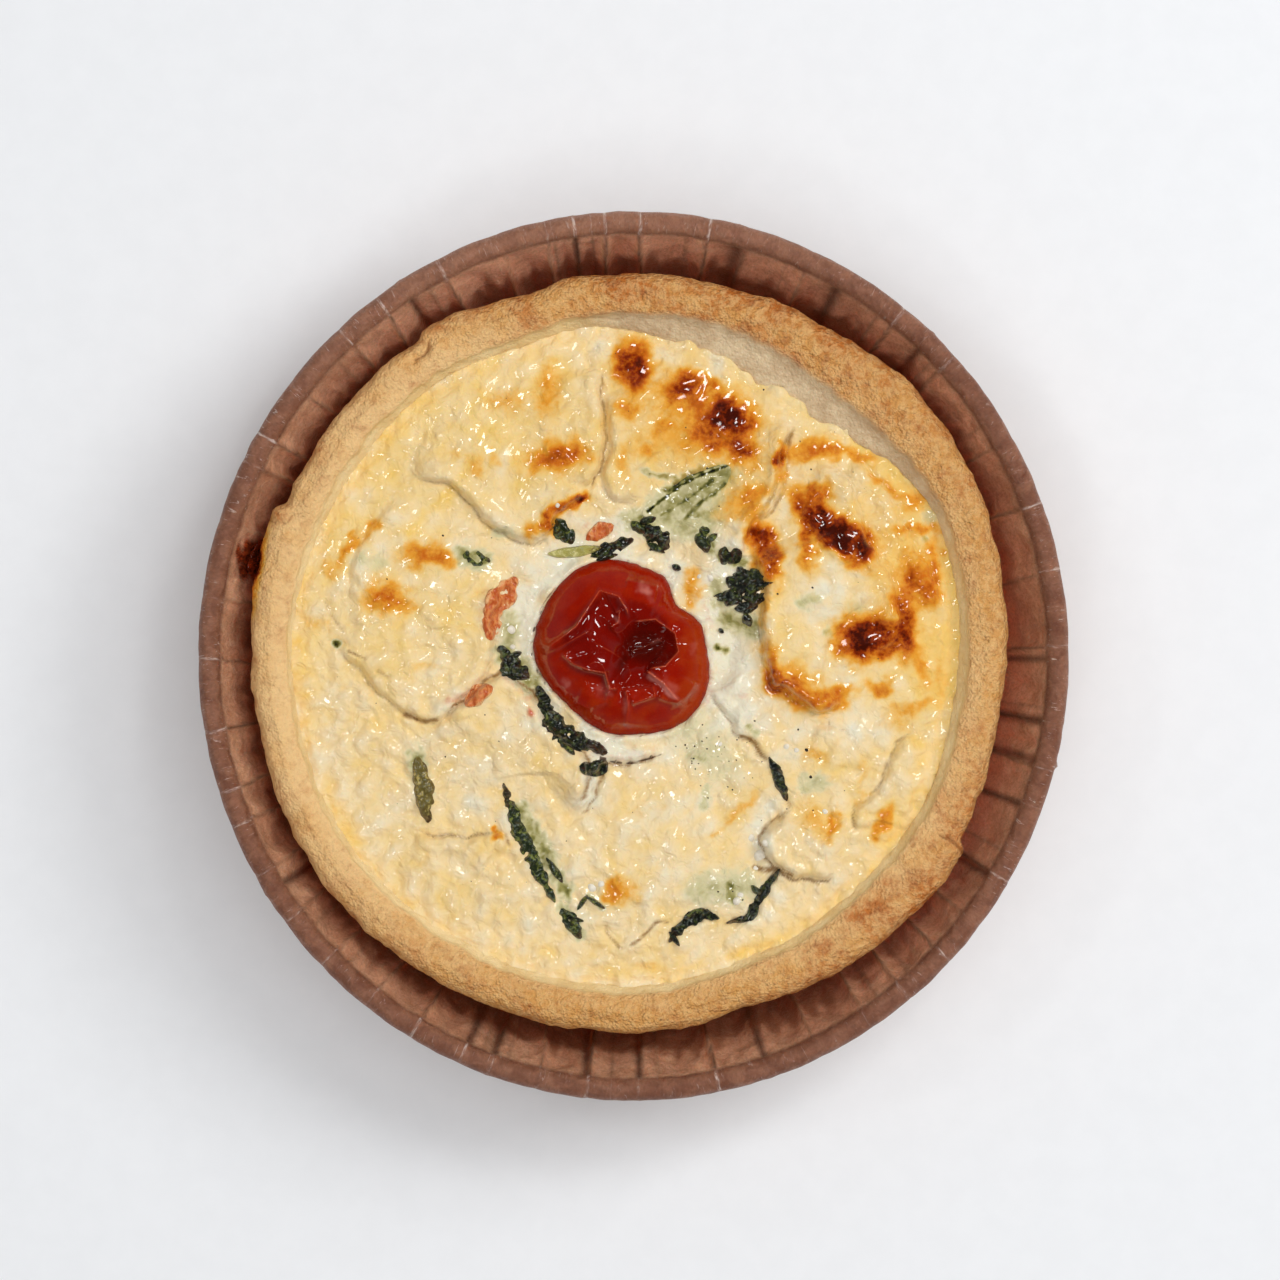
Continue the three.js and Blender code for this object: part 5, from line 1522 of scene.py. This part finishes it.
# Brown of the seams, laid also as painted shade under the plate edges and in the cracks
SEAM_BROWN = colour(140, 96, 44)
# Finishes of the leaves: dark and light shade, edge, share of cream in the folds, gloss
LEAF_LOOKS = {
    "dark_leaf": (colour(9, 14, 8), colour(74, 84, 34), colour(10, 12, 8), 0.9, 1.0),
    "green_leaf": (colour(26, 38, 14), colour(122, 130, 54), colour(24, 28, 12), 0.9, 0.8),
    "pale_leaf": (colour(104, 90, 36), colour(190, 168, 92), colour(96, 56, 22), 0.6, 0.8),
    "pale_stalk": (colour(176, 168, 86), colour(222, 214, 146), colour(140, 128, 62), 0.4, 0.8),
}

COLOUR_SOCKET = "NodeSocketColor"
NUMBER_SOCKET = "NodeSocketFloat"
# Sockets of a mix of colours: its share and two colours, and its result
MIX_INPUTS = (0, 6, 7)
MIX_OUTPUT = 2


class Finish:
    """Adds nodes to one material or to one shared group"""

    def __init__(self, tree):
        self.tree = tree

    def put(self, socket, value):
        if isinstance(value, bpy.types.NodeSocket):
            self.tree.links.new(value, socket)
        else:
            socket.default_value = value

    def add(self, kind, sockets=None, **settings):
        node = self.tree.nodes.new(kind)
        for name, value in settings.items():
            setattr(node, name, value)
        for name, value in (sockets or {}).items():
            self.put(node.inputs[name], value)
        return node

    def place(self):
        return self.add("ShaderNodeTexCoord").outputs["Object"]

    def unrolled(self):
        return self.add("ShaderNodeUVMap", uv_map="unrolled").outputs["UV"]

    def number(self, name):
        return self.add("ShaderNodeAttribute", attribute_name=name).outputs["Fac"]

    def noise(self, length, detail=3.0, rough=0.5, bend=0.0, place=None, unit=MM):
        sockets = {
            "Vector": place or self.place(), "Scale": 1 / (length * unit), "Detail": detail,
            "Roughness": rough, "Distortion": bend,
        }
        return self.add("ShaderNodeTexNoise", sockets).outputs["Fac"]

    def stretched(self, place, scale):
        return self.add("ShaderNodeMapping", {"Vector": place, "Scale": scale}).outputs["Vector"]

    def between(self, value, low, high, start=0.0, end=1.0):
        sockets = {
            "Value": value, "From Min": low, "From Max": high, "To Min": start, "To Max": end,
        }
        node = self.add("ShaderNodeMapRange", sockets, interpolation_type="SMOOTHSTEP")
        return node.outputs["Result"]

    # The same for a number that the mesh carries
    def mask(self, name, low, high, start=0.0, end=1.0):
        return self.between(self.number(name), low, high, start, end)

    # A number that the mesh carries, made uneven by a grain
    def ragged(self, name, grain, amount):
        return self.sum(self.number(name), self.between(grain, 0.3, 0.7, -amount, amount))

    def maths(self, operation, first, second, clamp=False):
        node = self.add("ShaderNodeMath", operation=operation, use_clamp=clamp)
        self.put(node.inputs[0], first)
        self.put(node.inputs[1], second)
        return node.outputs[0]

    def sum(self, *values):
        total = values[0]
        for value in values[1:]:
            total = self.maths("ADD", total, value)
        return total

    def times(self, first, second, clamp=False):
        return self.maths("MULTIPLY", first, second, clamp)

    def mix(self, share, first, second):
        node = self.add("ShaderNodeMix", data_type="RGBA")
        for place, value in zip(MIX_INPUTS, (share, first, second)):
            self.put(node.inputs[place], value)
        return node.outputs[MIX_OUTPUT]

    # Lays a shade over a surface as far as the mask says, and at most by the given share
    def lay(self, surface, mask, shade, most=None):
        share = mask if most is None else self.times(mask, most)
        return self.mix(share, surface, shade)

    def ramp(self, value, stops):
        node = self.add("ShaderNodeValToRGB", {"Fac": value})
        elements = node.color_ramp.elements
        while len(elements) < len(stops):
            elements.new(0.5)
        for element, (position, shade) in zip(elements, stops):
            element.position = position
            element.color = shade
        return node.outputs["Color"]

    def bump(self, height, depth, strength=1.0, normal=None):
        sockets = {"Height": height, "Distance": depth * MM, "Strength": strength}
        if normal is not None:
            sockets["Normal"] = normal
        return self.add("ShaderNodeBump", sockets).outputs["Normal"]

    def group(self, tree, **sockets):
        return self.add("ShaderNodeGroup", sockets, node_tree=tree).outputs


def new_material(name, **constants):
    material = bpy.data.materials.new(name)
    material.use_nodes = True
    shader = material.node_tree.nodes["Principled BSDF"]
    for socket, value in constants.items():
        shader.inputs[socket.replace("_", " ")].default_value = value
    return material, Finish(material.node_tree), shader


def feed(finish, shader, **values):
    for socket, value in values.items():
        finish.tree.links.new(value, shader.inputs[socket.replace("_", " ")])


def new_group(name, inputs, outputs):
    group = bpy.data.node_groups.new(name, "ShaderNodeTree")
    for in_out, sockets in (("INPUT", inputs), ("OUTPUT", outputs)):
        for socket, kind in sockets.items():
            group.interface.new_socket(socket, in_out=in_out, socket_type=kind)
    finish = Finish(group)
    return group, finish, finish.add("NodeGroupInput").outputs


# Colour that an oven gives: golden, then orange-brown, then dark
def baked_colour_group():
    group, finish, given = new_group(
        "baked_colour",
        {"Surface": COLOUR_SOCKET, "Baking": NUMBER_SOCKET},
        {"Colour": COLOUR_SOCKET},
    )
    baked = finish.ramp(given["Baking"], [
        (0.0, colour(240, 206, 136)), (0.2, colour(240, 190, 96)), (0.4, colour(232, 158, 50)),
        (0.6, colour(206, 108, 20)), (0.8, colour(142, 46, 4)), (1.0, colour(68, 15, 3)),
    ])
    share = finish.between(given["Baking"], 0.0, 0.36)
    finish.add("NodeGroupOutput", {"Colour": finish.mix(share, given["Surface"], baked)})
    return group


# Crumbly grain: a height for the bump and a mask for the mottled colour
def crumb_group():
    group, finish, given = new_group(
        "crumb",
        {"Fineness": NUMBER_SOCKET},
        {"Height": NUMBER_SOCKET, "Mottle": NUMBER_SOCKET},
    )
    place = finish.place()
    coarse = finish.add("ShaderNodeTexNoise", {
        "Vector": place, "Scale": given["Fineness"], "Detail": 5.0, "Roughness": 0.6,
    }).outputs["Fac"]
    finer = finish.times(given["Fineness"], 2.7)
    grains = finish.add("ShaderNodeTexVoronoi", {"Vector": place, "Scale": finer})
    height = finish.sum(coarse, finish.times(grains.outputs["Distance"], -0.5))
    mottle = finish.between(coarse, 0.35, 0.65)
    finish.add("NodeGroupOutput", {"Height": height, "Mottle": mottle})
    return group


# Leaf that shines through cream: grey-green, then green, then nearly black
def green_film_group():
    group, finish, given = new_group(
        "green_film",
        {"Surface": COLOUR_SOCKET, "Leaf": NUMBER_SOCKET},
        {"Colour": COLOUR_SOCKET},
    )
    streaks = finish.between(finish.noise(1.6, 2.0, 0.5, 0.4), 0.3, 0.7, 0.78, 1.22)
    uneven = finish.times(given["Leaf"], streaks, clamp=True)
    leaf = finish.ramp(uneven, [
        (0.0, colour(230, 222, 188)), (0.3, colour(210, 200, 154)), (0.55, colour(152, 144, 84)),
        (0.78, colour(82, 82, 30)), (1.0, colour(24, 26, 10)),
    ])
    share = finish.between(uneven, 0.03, 0.3)
    finish.add("NodeGroupOutput", {"Colour": finish.mix(share, given["Surface"], leaf)})
    return group


def custard_material(baked_colour, green_film):
    material, finish, shader = new_material(
        "custard", Subsurface_Weight=0.12, Subsurface_Radius=(1.0, 0.55, 0.25),
        Subsurface_Scale=0.0016, Coat_Roughness=0.08, Coat_IOR=1.75, Specular_IOR_Level=0.05,
    )
    fine = finish.noise(0.9, 4.0, 0.6)
    broad = finish.noise(4.0, 3.0, 0.5)
    specks = finish.between(fine, 0.3, 0.7, -0.03, 0.03)
    yellow = finish.sum(finish.ragged("yellowness", broad, 0.12), specks)
    surface = finish.ramp(yellow, [(0.0, MILK), (0.42, CREAM), (1.0, BUTTER)])
    freckle = finish.between(finish.noise(0.6, 2.0), 0.62, 0.74)
    surface = finish.lay(surface, freckle, colour(228, 184, 118), 0.16)
    pink = finish.between(finish.ragged("pinkness", fine, 0.1), 0.05, 1.0)
    surface = finish.lay(surface, pink, colour(206, 96, 66))
    leaf = finish.number("greenness")
    surface = finish.group(green_film, Surface=surface, Leaf=leaf)["Colour"]
    # Brown seams with painted shade at the feet of the plate edges and in the cracks
    seam = finish.times(finish.number("seam"), finish.between(fine, 0.2, 0.7, 0.5, 1.1))
    surface = finish.lay(surface, finish.between(seam, 0.1, 0.9, 0.0, 0.85), SEAM_BROWN)
    patchy = finish.between(finish.sum(broad, fine), 0.7, 1.3, 0.78, 1.2)
    baking = finish.times(finish.number("browning"), patchy)
    surface = finish.group(baked_colour, Surface=surface, Baking=baking)["Colour"]
    surface = finish.lay(surface, finish.mask("scorch", 0.3, 0.9, 0.0, 0.9), colour(58, 26, 14))
    lumps = finish.bump(finish.noise(1.8, 2.0, 0.5, 0.6), 0.75, 0.7)
    normal = finish.bump(finish.noise(0.8, 1.5, 0.45), 0.16, 0.5, lumps)
    roughness = finish.sum(
        finish.between(fine, 0.3, 0.7, 0.34, 0.46),
        finish.between(baking, 0.2, 0.8, 0.0, -0.1),
    )
    wet = finish.sum(finish.noise(6.0, 2.0, 0.5), finish.times(baking, 0.5))
    coat = finish.between(wet, 0.38, 0.7, 0.3, 0.95)
    feed(
        finish, shader, Base_Color=surface, Roughness=roughness, Normal=normal, Coat_Weight=coat,
    )
    return material


def pastry_material(baked_colour, crumb):
    material, finish, shader = new_material(
        "pastry", Subsurface_Weight=0.05, Subsurface_Scale=0.001, Specular_IOR_Level=0.3,
    )
    grain = finish.group(crumb, Fineness=850.0)
    mottle = grain["Mottle"]
    broad = finish.noise(5.0, 4.0, 0.6)
    patches = finish.between(broad, 0.35, 0.65)
    pale = finish.ragged("pale", broad, 0.25)
    paleness = finish.between(pale, 0.0, 1.0)
    surface = finish.mix(paleness, colour(217, 157, 87), colour(234, 194, 136))
    brown = finish.sum(finish.number("tanned"), finish.between(broad, 0.32, 0.68, -0.28, 0.3))
    surface = finish.lay(surface, finish.between(brown, 0.0, 1.0), colour(192, 110, 42))
    light_grain = finish.between(mottle, 0.0, 1.0, 0.0, 0.42)
    surface = finish.lay(surface, light_grain, colour(242, 200, 138))
    dark_grain = finish.between(finish.noise(0.9, 3.0, 0.6), 0.56, 0.7)
    grainy = finish.times(dark_grain, finish.between(pale, 0.0, 0.8, 0.4, 0.12))
    surface = finish.lay(surface, grainy, colour(172, 104, 52))
    speckle = finish.between(finish.noise(2.0, 5.0, 0.62), 0.5, 0.72)
    freckled = finish.times(speckle, finish.between(brown, 0.0, 0.7, 0.3, 0.75))
    surface = finish.lay(surface, freckled, colour(160, 90, 44))
    layered = finish.noise(0.7, 4.0, 0.6)
    inner = finish.mix(patches, colour(219, 193, 154), colour(200, 170, 132))
    inner = finish.lay(inner, finish.between(layered, 0.45, 0.7, 0.0, 0.22), colour(246, 228, 194))
    inner = finish.lay(inner, finish.between(layered, 0.45, 0.3, 0.0, 0.2), colour(192, 150, 106))
    glaze = finish.mix(patches, colour(240, 214, 162), colour(232, 200, 142))
    inner = finish.lay(inner, finish.number("glazed"), glaze)
    surface = finish.lay(surface, finish.number("slope"), inner)
    uneven = finish.between(finish.sum(broad, mottle), 0.5, 1.4, 0.75, 1.2)
    toasted = finish.times(finish.number("burnt"), uneven)
    surface = finish.group(baked_colour, Surface=surface, Baking=toasted)["Colour"]
    surface = finish.lay(surface, finish.mask("crack", 0.2, 0.9, 0.0, 0.7), colour(140, 84, 40))
    coarse = finish.bump(finish.noise(2.2, 3.0, 0.6), 0.9, 0.6)
    calm = finish.sum(finish.number("slope"), finish.times(finish.number("pale"), 0.8))
    relief = finish.times(grain["Height"], finish.between(calm, 0.0, 1.0, 1.0, 0.3))
    normal = finish.bump(relief, 0.65, 0.95, coarse)
    roughness = finish.between(mottle, 0.0, 1.0, 0.55, 0.75)
    feed(finish, shader, Base_Color=surface, Roughness=roughness, Normal=normal)
    return material


def paper_material():
    material, finish, shader = new_material(
        "brown_paper", Specular_IOR_Level=0.4, Subsurface_Weight=0.6,
        Subsurface_Radius=(1.0, 0.55, 0.35), Subsurface_Scale=0.002,
    )
    sheet = finish.unrolled()
    fibres = finish.noise(0.5, 4.0, 0.6, 0.4, finish.stretched(sheet, (1.0, 0.6, 1.0)), 1.0)
    cloudy = finish.noise(3.0, 4.0, 0.6, 0.6, sheet, 1.0)
    wrinkle = finish.noise(0.8, 4.0, 0.65, 1.2, finish.stretched(sheet, (1.4, 0.35, 1.0)), 1.0)
    clouds = finish.between(cloudy, 0.3, 0.7)
    rim = finish.number("rim")
    crease = finish.number("crease")
    inner = finish.number("inner")
    # The wall gets a paler colour than the rolled rim of the same paper: painted light standing in
    # for the light its shade takes away
    wall = finish.mix(clouds, colour(188, 140, 106), colour(222, 174, 138))
    wall = finish.lay(wall, finish.mask("panel", -1.0, 1.0, 0.0, 0.4), colour(162, 108, 78))
    rolled = finish.mix(clouds, colour(124, 80, 60), colour(152, 106, 82))
    surface = finish.lay(wall, rim, rolled)
    # Painted light: a paler colour where the sides of the paper should look lit, weaker on the rim
    lit = finish.times(finish.number("bright"), finish.between(rim, 0.0, 1.0, 1.0, 0.25))
    surface = finish.lay(surface, lit, colour(236, 184, 150))
    dark_fibres = finish.between(fibres, 0.35, 0.7, 0.0, 0.28)
    surface = finish.lay(surface, dark_fibres, colour(84, 48, 34))
    # Pale marks on the rim's wrinkles and creases: partly stress-whitened paper, partly painted
    # highlight
    white_wrinkle = finish.times(finish.between(wrinkle, 0.6, 0.72), finish.number("crinkled"))
    worn = finish.between(wrinkle, 0.42, 0.62, 0.1, 0.9)
    white_crease = finish.times(finish.between(crease, 0.3, 0.75), worn)
    on_rim = finish.times(rim, finish.sum(white_wrinkle, white_crease), clamp=True)
    surface = finish.lay(surface, on_rim, colour(222, 206, 196), 0.75)
    below = finish.maths("SUBTRACT", 1.0, rim)
    # Painted shade along the creases of the wall
    dark_crease = finish.times(crease, below, clamp=True)
    surface = finish.lay(surface, dark_crease, colour(50, 26, 18), 0.85)
    # Painted shade in the wide pleats, together with the darker double layer of paper
    dark_pleat = finish.times(finish.number("pleat"), below, clamp=True)
    surface = finish.lay(surface, dark_pleat, colour(64, 34, 24), 0.7)
    # Grease and painted shade darken the paper low on the inner wall
    greasy = finish.times(finish.number("low"), inner)
    surface = finish.lay(surface, greasy, colour(124, 66, 34), 0.7)
    burnt = finish.mix(finish.between(wrinkle, 0.4, 0.7), colour(84, 28, 12), colour(170, 72, 28))
    surface = finish.lay(surface, finish.times(finish.mask("stained", 0.25, 0.7), inner), burnt)
    normal = finish.bump(finish.sum(wrinkle, fibres), 0.25, 0.6, finish.bump(cloudy, 0.8, 0.5))
    roughness = finish.sum(
        finish.between(fibres, 0.3, 0.7, 0.42, 0.56),
        finish.times(greasy, -0.12),
    )
    feed(finish, shader, Base_Color=surface, Roughness=roughness, Normal=normal)
    return material


def tomato_material():
    material, finish, shader = new_material(
        "tomato_skin", Subsurface_Weight=0.1, Subsurface_Radius=(1.0, 0.2, 0.1),
        Subsurface_Scale=0.0015, Coat_Roughness=0.05, Coat_IOR=1.8, Specular_IOR_Level=0.05,
    )
    broad = finish.noise(4.0, 3.0, 0.55)
    fine = finish.noise(0.9, 3.0, 0.55)
    surface = finish.mix(finish.between(broad, 0.3, 0.7), colour(146, 18, 1), colour(160, 32, 3))
    orange = finish.sum(finish.number("orange"), finish.between(broad, 0.35, 0.7, -0.3, 0.3))
    surface = finish.lay(surface, finish.between(orange, 0.0, 1.0), colour(160, 48, 9))
    deep = finish.between(finish.ragged("deep", broad, 0.2), 0.2, 0.8)
    surface = finish.lay(surface, deep, colour(122, 10, 1))
    surface = finish.lay(surface, finish.mask("shadow", 0.1, 1.0, 0.0, 0.55), colour(96, 6, 1))
    # Painted highlight: a paler colour along the ridges of the folds
    surface = finish.lay(surface, finish.mask("fold", 0.3, 1.0, 0.0, 0.75), colour(220, 104, 66))
    # Painted shade in the dent and the hollow
    surface = finish.lay(surface, finish.mask("hollow", 0.1, 1.0, 0.0, 0.85), colour(66, 10, 4))
    rim = finish.between(finish.ragged("skirt", fine, 0.15), 0.85, 1.05)
    surface = finish.lay(surface, rim, colour(142, 40, 24))
    # Painted highlight: pale pink patches on the skin
    sheen = finish.times(finish.number("sheen"), finish.between(broad, 0.3, 0.6, 0.6, 1.0))
    surface = finish.lay(surface, finish.between(sheen, 0.05, 1.0), colour(220, 140, 126))
    normal = finish.bump(finish.noise(3.2, 1.5, 0.4, 0.6), 0.4, 0.35)
    roughness = finish.between(fine, 0.3, 0.7, 0.2, 0.32)
    coat = finish.mask("skirt", 0.0, 0.7, 0.85, 0.0)
    feed(
        finish, shader, Base_Color=surface, Roughness=roughness, Normal=normal, Coat_Weight=coat,
    )
    return material


def coated_leaf_material(green_film):
    material, finish, shader = new_material(
        "coated_leaf", Coat_Weight=0.8, Coat_Roughness=0.1, Coat_IOR=1.8, Specular_IOR_Level=0.12,
    )
    cloudy = finish.noise(2.0, 3.0, 0.5)
    clouds = finish.between(cloudy, 0.35, 0.65)
    cream = finish.mix(clouds, colour(230, 216, 178), colour(210, 194, 154))
    leaf = finish.number("greenness")
    covered = finish.group(green_film, Surface=cream, Leaf=leaf)["Colour"]
    normal = finish.bump(finish.noise(1.2, 2.0, 0.5), 0.25, 0.6)
    roughness = finish.between(cloudy, 0.3, 0.7, 0.3, 0.42)
    feed(finish, shader, Base_Color=covered, Roughness=roughness, Normal=normal)
    return material


def leaf_material(name, dark, light, edge, film, gloss):
    material, finish, shader = new_material(
        name, Coat_Weight=gloss, Coat_Roughness=0.1, Coat_IOR=1.8,
    )
    blotch = finish.noise(0.9, 4.0, 0.6, 0.8)
    fine = finish.noise(0.4, 3.0, 0.6)
    surface = finish.mix(finish.between(blotch, 0.48, 0.68), dark, light)
    cream = finish.between(finish.ragged("folds", fine, 0.3), 0.25, -0.15)
    surface = finish.lay(surface, cream, colour(206, 204, 178), film)
    margin = finish.between(finish.ragged("side", fine, 0.25), 0.6, 1.0)
    surface = finish.lay(surface, margin, edge, 0.4)
    # Painted highlight: a paler grey-green on the crests of the folds
    lit = finish.between(finish.ragged("folds", fine, 0.25), 0.86, 1.08)
    surface = finish.lay(surface, lit, colour(134, 148, 134), 0.3)
    tip = finish.between(finish.ragged("share", fine, 0.1), 0.78, 0.94)
    surface = finish.lay(surface, tip, colour(66, 34, 14), 0.7)
    normal = finish.bump(finish.sum(blotch, finish.noise(0.6, 2.0, 0.5, 1.0)), 0.3, 0.7)
    roughness = finish.between(fine, 0.3, 0.7, 0.28, 0.5)
    feed(finish, shader, Base_Color=surface, Roughness=roughness, Normal=normal)
    return material


def salmon_material():
    material, finish, shader = new_material(
        "salmon", Subsurface_Weight=0.1, Subsurface_Scale=0.001, Coat_Weight=0.7,
        Coat_Roughness=0.12,
    )
    fibre = finish.noise(0.7, 3.0, 0.6, 0.5, finish.stretched(finish.place(), (1.0, 0.4, 1.0)))
    stripes = finish.between(fibre, 0.35, 0.65)
    surface = finish.mix(stripes, colour(190, 84, 30), colour(228, 144, 80))
    margin = finish.between(finish.ragged("side", fibre, 0.3), 0.7, 1.0)
    surface = finish.lay(surface, margin, colour(234, 176, 120))
    normal = finish.bump(fibre, 0.35, 0.8)
    roughness = finish.between(fibre, 0.3, 0.7, 0.3, 0.45)
    feed(finish, shader, Base_Color=surface, Roughness=roughness, Normal=normal)
    return material


def plain_wet_material(name, first, second, length, **constants):
    material, finish, shader = new_material(name, **constants)
    mottle = finish.noise(length, 3.0, 0.6)
    surface = finish.mix(finish.between(mottle, 0.35, 0.65), first, second)
    normal = finish.bump(mottle, 0.2, 0.5)
    roughness = finish.between(mottle, 0.3, 0.7, 0.22, 0.4)
    feed(finish, shader, Base_Color=surface, Roughness=roughness, Normal=normal)
    return material


def floor_material():
    material, finish, shader = new_material("pale_floor", Specular_IOR_Level=0.2)
    paper = finish.noise(6.0, 4.0, 0.6)
    clouds = finish.between(paper, 0.3, 0.7)
    surface = finish.mix(clouds, colour(239, 240, 242), colour(241, 242, 244))
    feed(finish, shader, Base_Color=surface, Roughness=finish.between(paper, 0.3, 0.7, 0.75, 0.85))
    return material


# Studio

FLOOR_HALF_WIDTH = 2.0
FLOOR_DROP = 0.0001
RIM_PLANE = 0.032
FRAME_WIDTH = 0.2048
CAMERA_HEIGHT = 0.9
FRAME_CENTRE_X = 0.00104
FRAME_CENTRE_Y = 0.00256
SENSOR_WIDTH = 36.0
ROOM_COLOUR = (0.97, 0.98, 1.0, 1)
WORLD_STRENGTH = 0.335
# Brightness of the room that wet surfaces mirror, from level to straight above
MIRRORED_WALL = 0.12
MIRRORED_CEILING = 0.01
LAMP_COLOUR = (0.985, 0.99, 0.99)
# Each lamp: place, power, size of its square face and whether wet surfaces mirror it
LAMPS = {
    "key_light": ((0.76, 0.36, 0.9), 5.3, 0.5, False),
    "overhead_light": ((0.05, -0.12, 1.5), 7.7, 1.1, False),
    "glint_light": ((0.34, 0.4, 1.05), 1.4, 0.19, True),
    "left_glint_light": ((-0.46, 0.2, 1.0), 0.5, 0.13, True),
    "front_glint_light": ((-0.14, -0.42, 1.05), 0.4, 0.12, True),
}


def floor_plane():
    bm = bmesh.new()
    bmesh.ops.create_grid(bm, x_segments=4, y_segments=4, size=FLOOR_HALF_WIDTH)
    bmesh.ops.translate(bm, verts=bm.verts[:], vec=(0, 0, -FLOOR_DROP))
    floor = bpy.data.objects.new("floor", mesh_from(bm, "floor"))
    floor.data.materials.append(floor_material())
    bpy.context.scene.collection.objects.link(floor)


# An even soft room, which looks darker in the reflections of wet surfaces
def room():
    world = bpy.data.worlds.new("soft_room")
    world.use_nodes = True
    finish = Finish(world.node_tree)
    light = world.node_tree.nodes["Background"]
    light.inputs["Color"].default_value = ROOM_COLOUR
    light.inputs["Strength"].default_value = WORLD_STRENGTH
    direction = finish.add("ShaderNodeTexCoord").outputs["Generated"]
    upward = finish.add("ShaderNodeSeparateXYZ", {"Vector": direction}).outputs["Z"]
    mirrored = finish.add("ShaderNodeBackground", {
        "Color": ROOM_COLOUR,
        "Strength": finish.between(upward, 0.0, 0.6, MIRRORED_WALL, MIRRORED_CEILING),
    })
    reflection = finish.add("ShaderNodeLightPath").outputs["Is Glossy Ray"]
    joined = finish.add("ShaderNodeMixShader", {"Fac": reflection})
    finish.put(joined.inputs[1], light.outputs[0])
    finish.put(joined.inputs[2], mirrored.outputs[0])
    finish.put(world.node_tree.nodes["World Output"].inputs["Surface"], joined.outputs[0])
    bpy.context.scene.world = world


def lamps():
    for name, (place, power, size, mirrored) in LAMPS.items():
        lamp = bpy.data.lights.new(name, "AREA")
        lamp.shape = "SQUARE"
        lamp.size = size
        lamp.energy = power
        lamp.color = LAMP_COLOUR
        holder = bpy.data.objects.new(name, lamp)
        holder.location = place
        holder.visible_glossy = mirrored
        holder.rotation_mode = "QUATERNION"
        holder.rotation_quaternion = holder.location.to_track_quat("Z", "Y")
        bpy.context.scene.collection.objects.link(holder)


def camera():
    eye = bpy.data.cameras.new("overhead_camera")
    eye.sensor_width = SENSOR_WIDTH
    eye.lens = SENSOR_WIDTH * CAMERA_HEIGHT / FRAME_WIDTH
    holder = bpy.data.objects.new("overhead_camera", eye)
    holder.location = (FRAME_CENTRE_X, FRAME_CENTRE_Y, RIM_PLANE + CAMERA_HEIGHT)
    bpy.context.scene.collection.objects.link(holder)
    bpy.context.scene.camera = holder
    bpy.context.scene.view_settings.view_transform = "Standard"


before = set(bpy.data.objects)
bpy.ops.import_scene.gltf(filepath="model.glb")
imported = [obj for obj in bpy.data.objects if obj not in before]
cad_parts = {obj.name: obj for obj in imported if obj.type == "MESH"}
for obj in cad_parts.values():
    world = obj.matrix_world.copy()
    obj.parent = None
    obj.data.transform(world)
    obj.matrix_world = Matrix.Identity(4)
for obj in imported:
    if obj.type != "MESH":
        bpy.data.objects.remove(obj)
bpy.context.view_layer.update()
baked_colour = baked_colour_group()
green_film = green_film_group()
paper_case(paper_material())
pastry_crust(pastry_material(baked_colour, crumb_group()))
custard(custard_material(baked_colour, green_film))
tomato_half(tomato_material())
finishes = {name: leaf_material(name, *look) for name, look in LEAF_LOOKS.items()}
finishes["coated_leaf"] = coated_leaf_material(green_film)
finishes["salmon"] = salmon_material()
leaves_and_flakes(finishes)
set_cream = plain_wet_material(
    "set_cream", colour(240, 232, 214), colour(226, 216, 196), 0.8, Coat_Weight=0.6,
)
small_balls("cream_drops", CREAM_DROPS, set_cream, 0.7, 91)
pepper = plain_wet_material("pepper", colour(28, 24, 20), colour(60, 48, 36), 0.2)
small_balls("pepper_specks", pepper_specks(), pepper, 0.8, 92)
juice_blob(plain_wet_material(
    "burnt_juice", colour(70, 20, 8), colour(150, 48, 14), 1.4, Coat_Weight=0.8,
))
floor_plane()
room()
lamps()
camera()
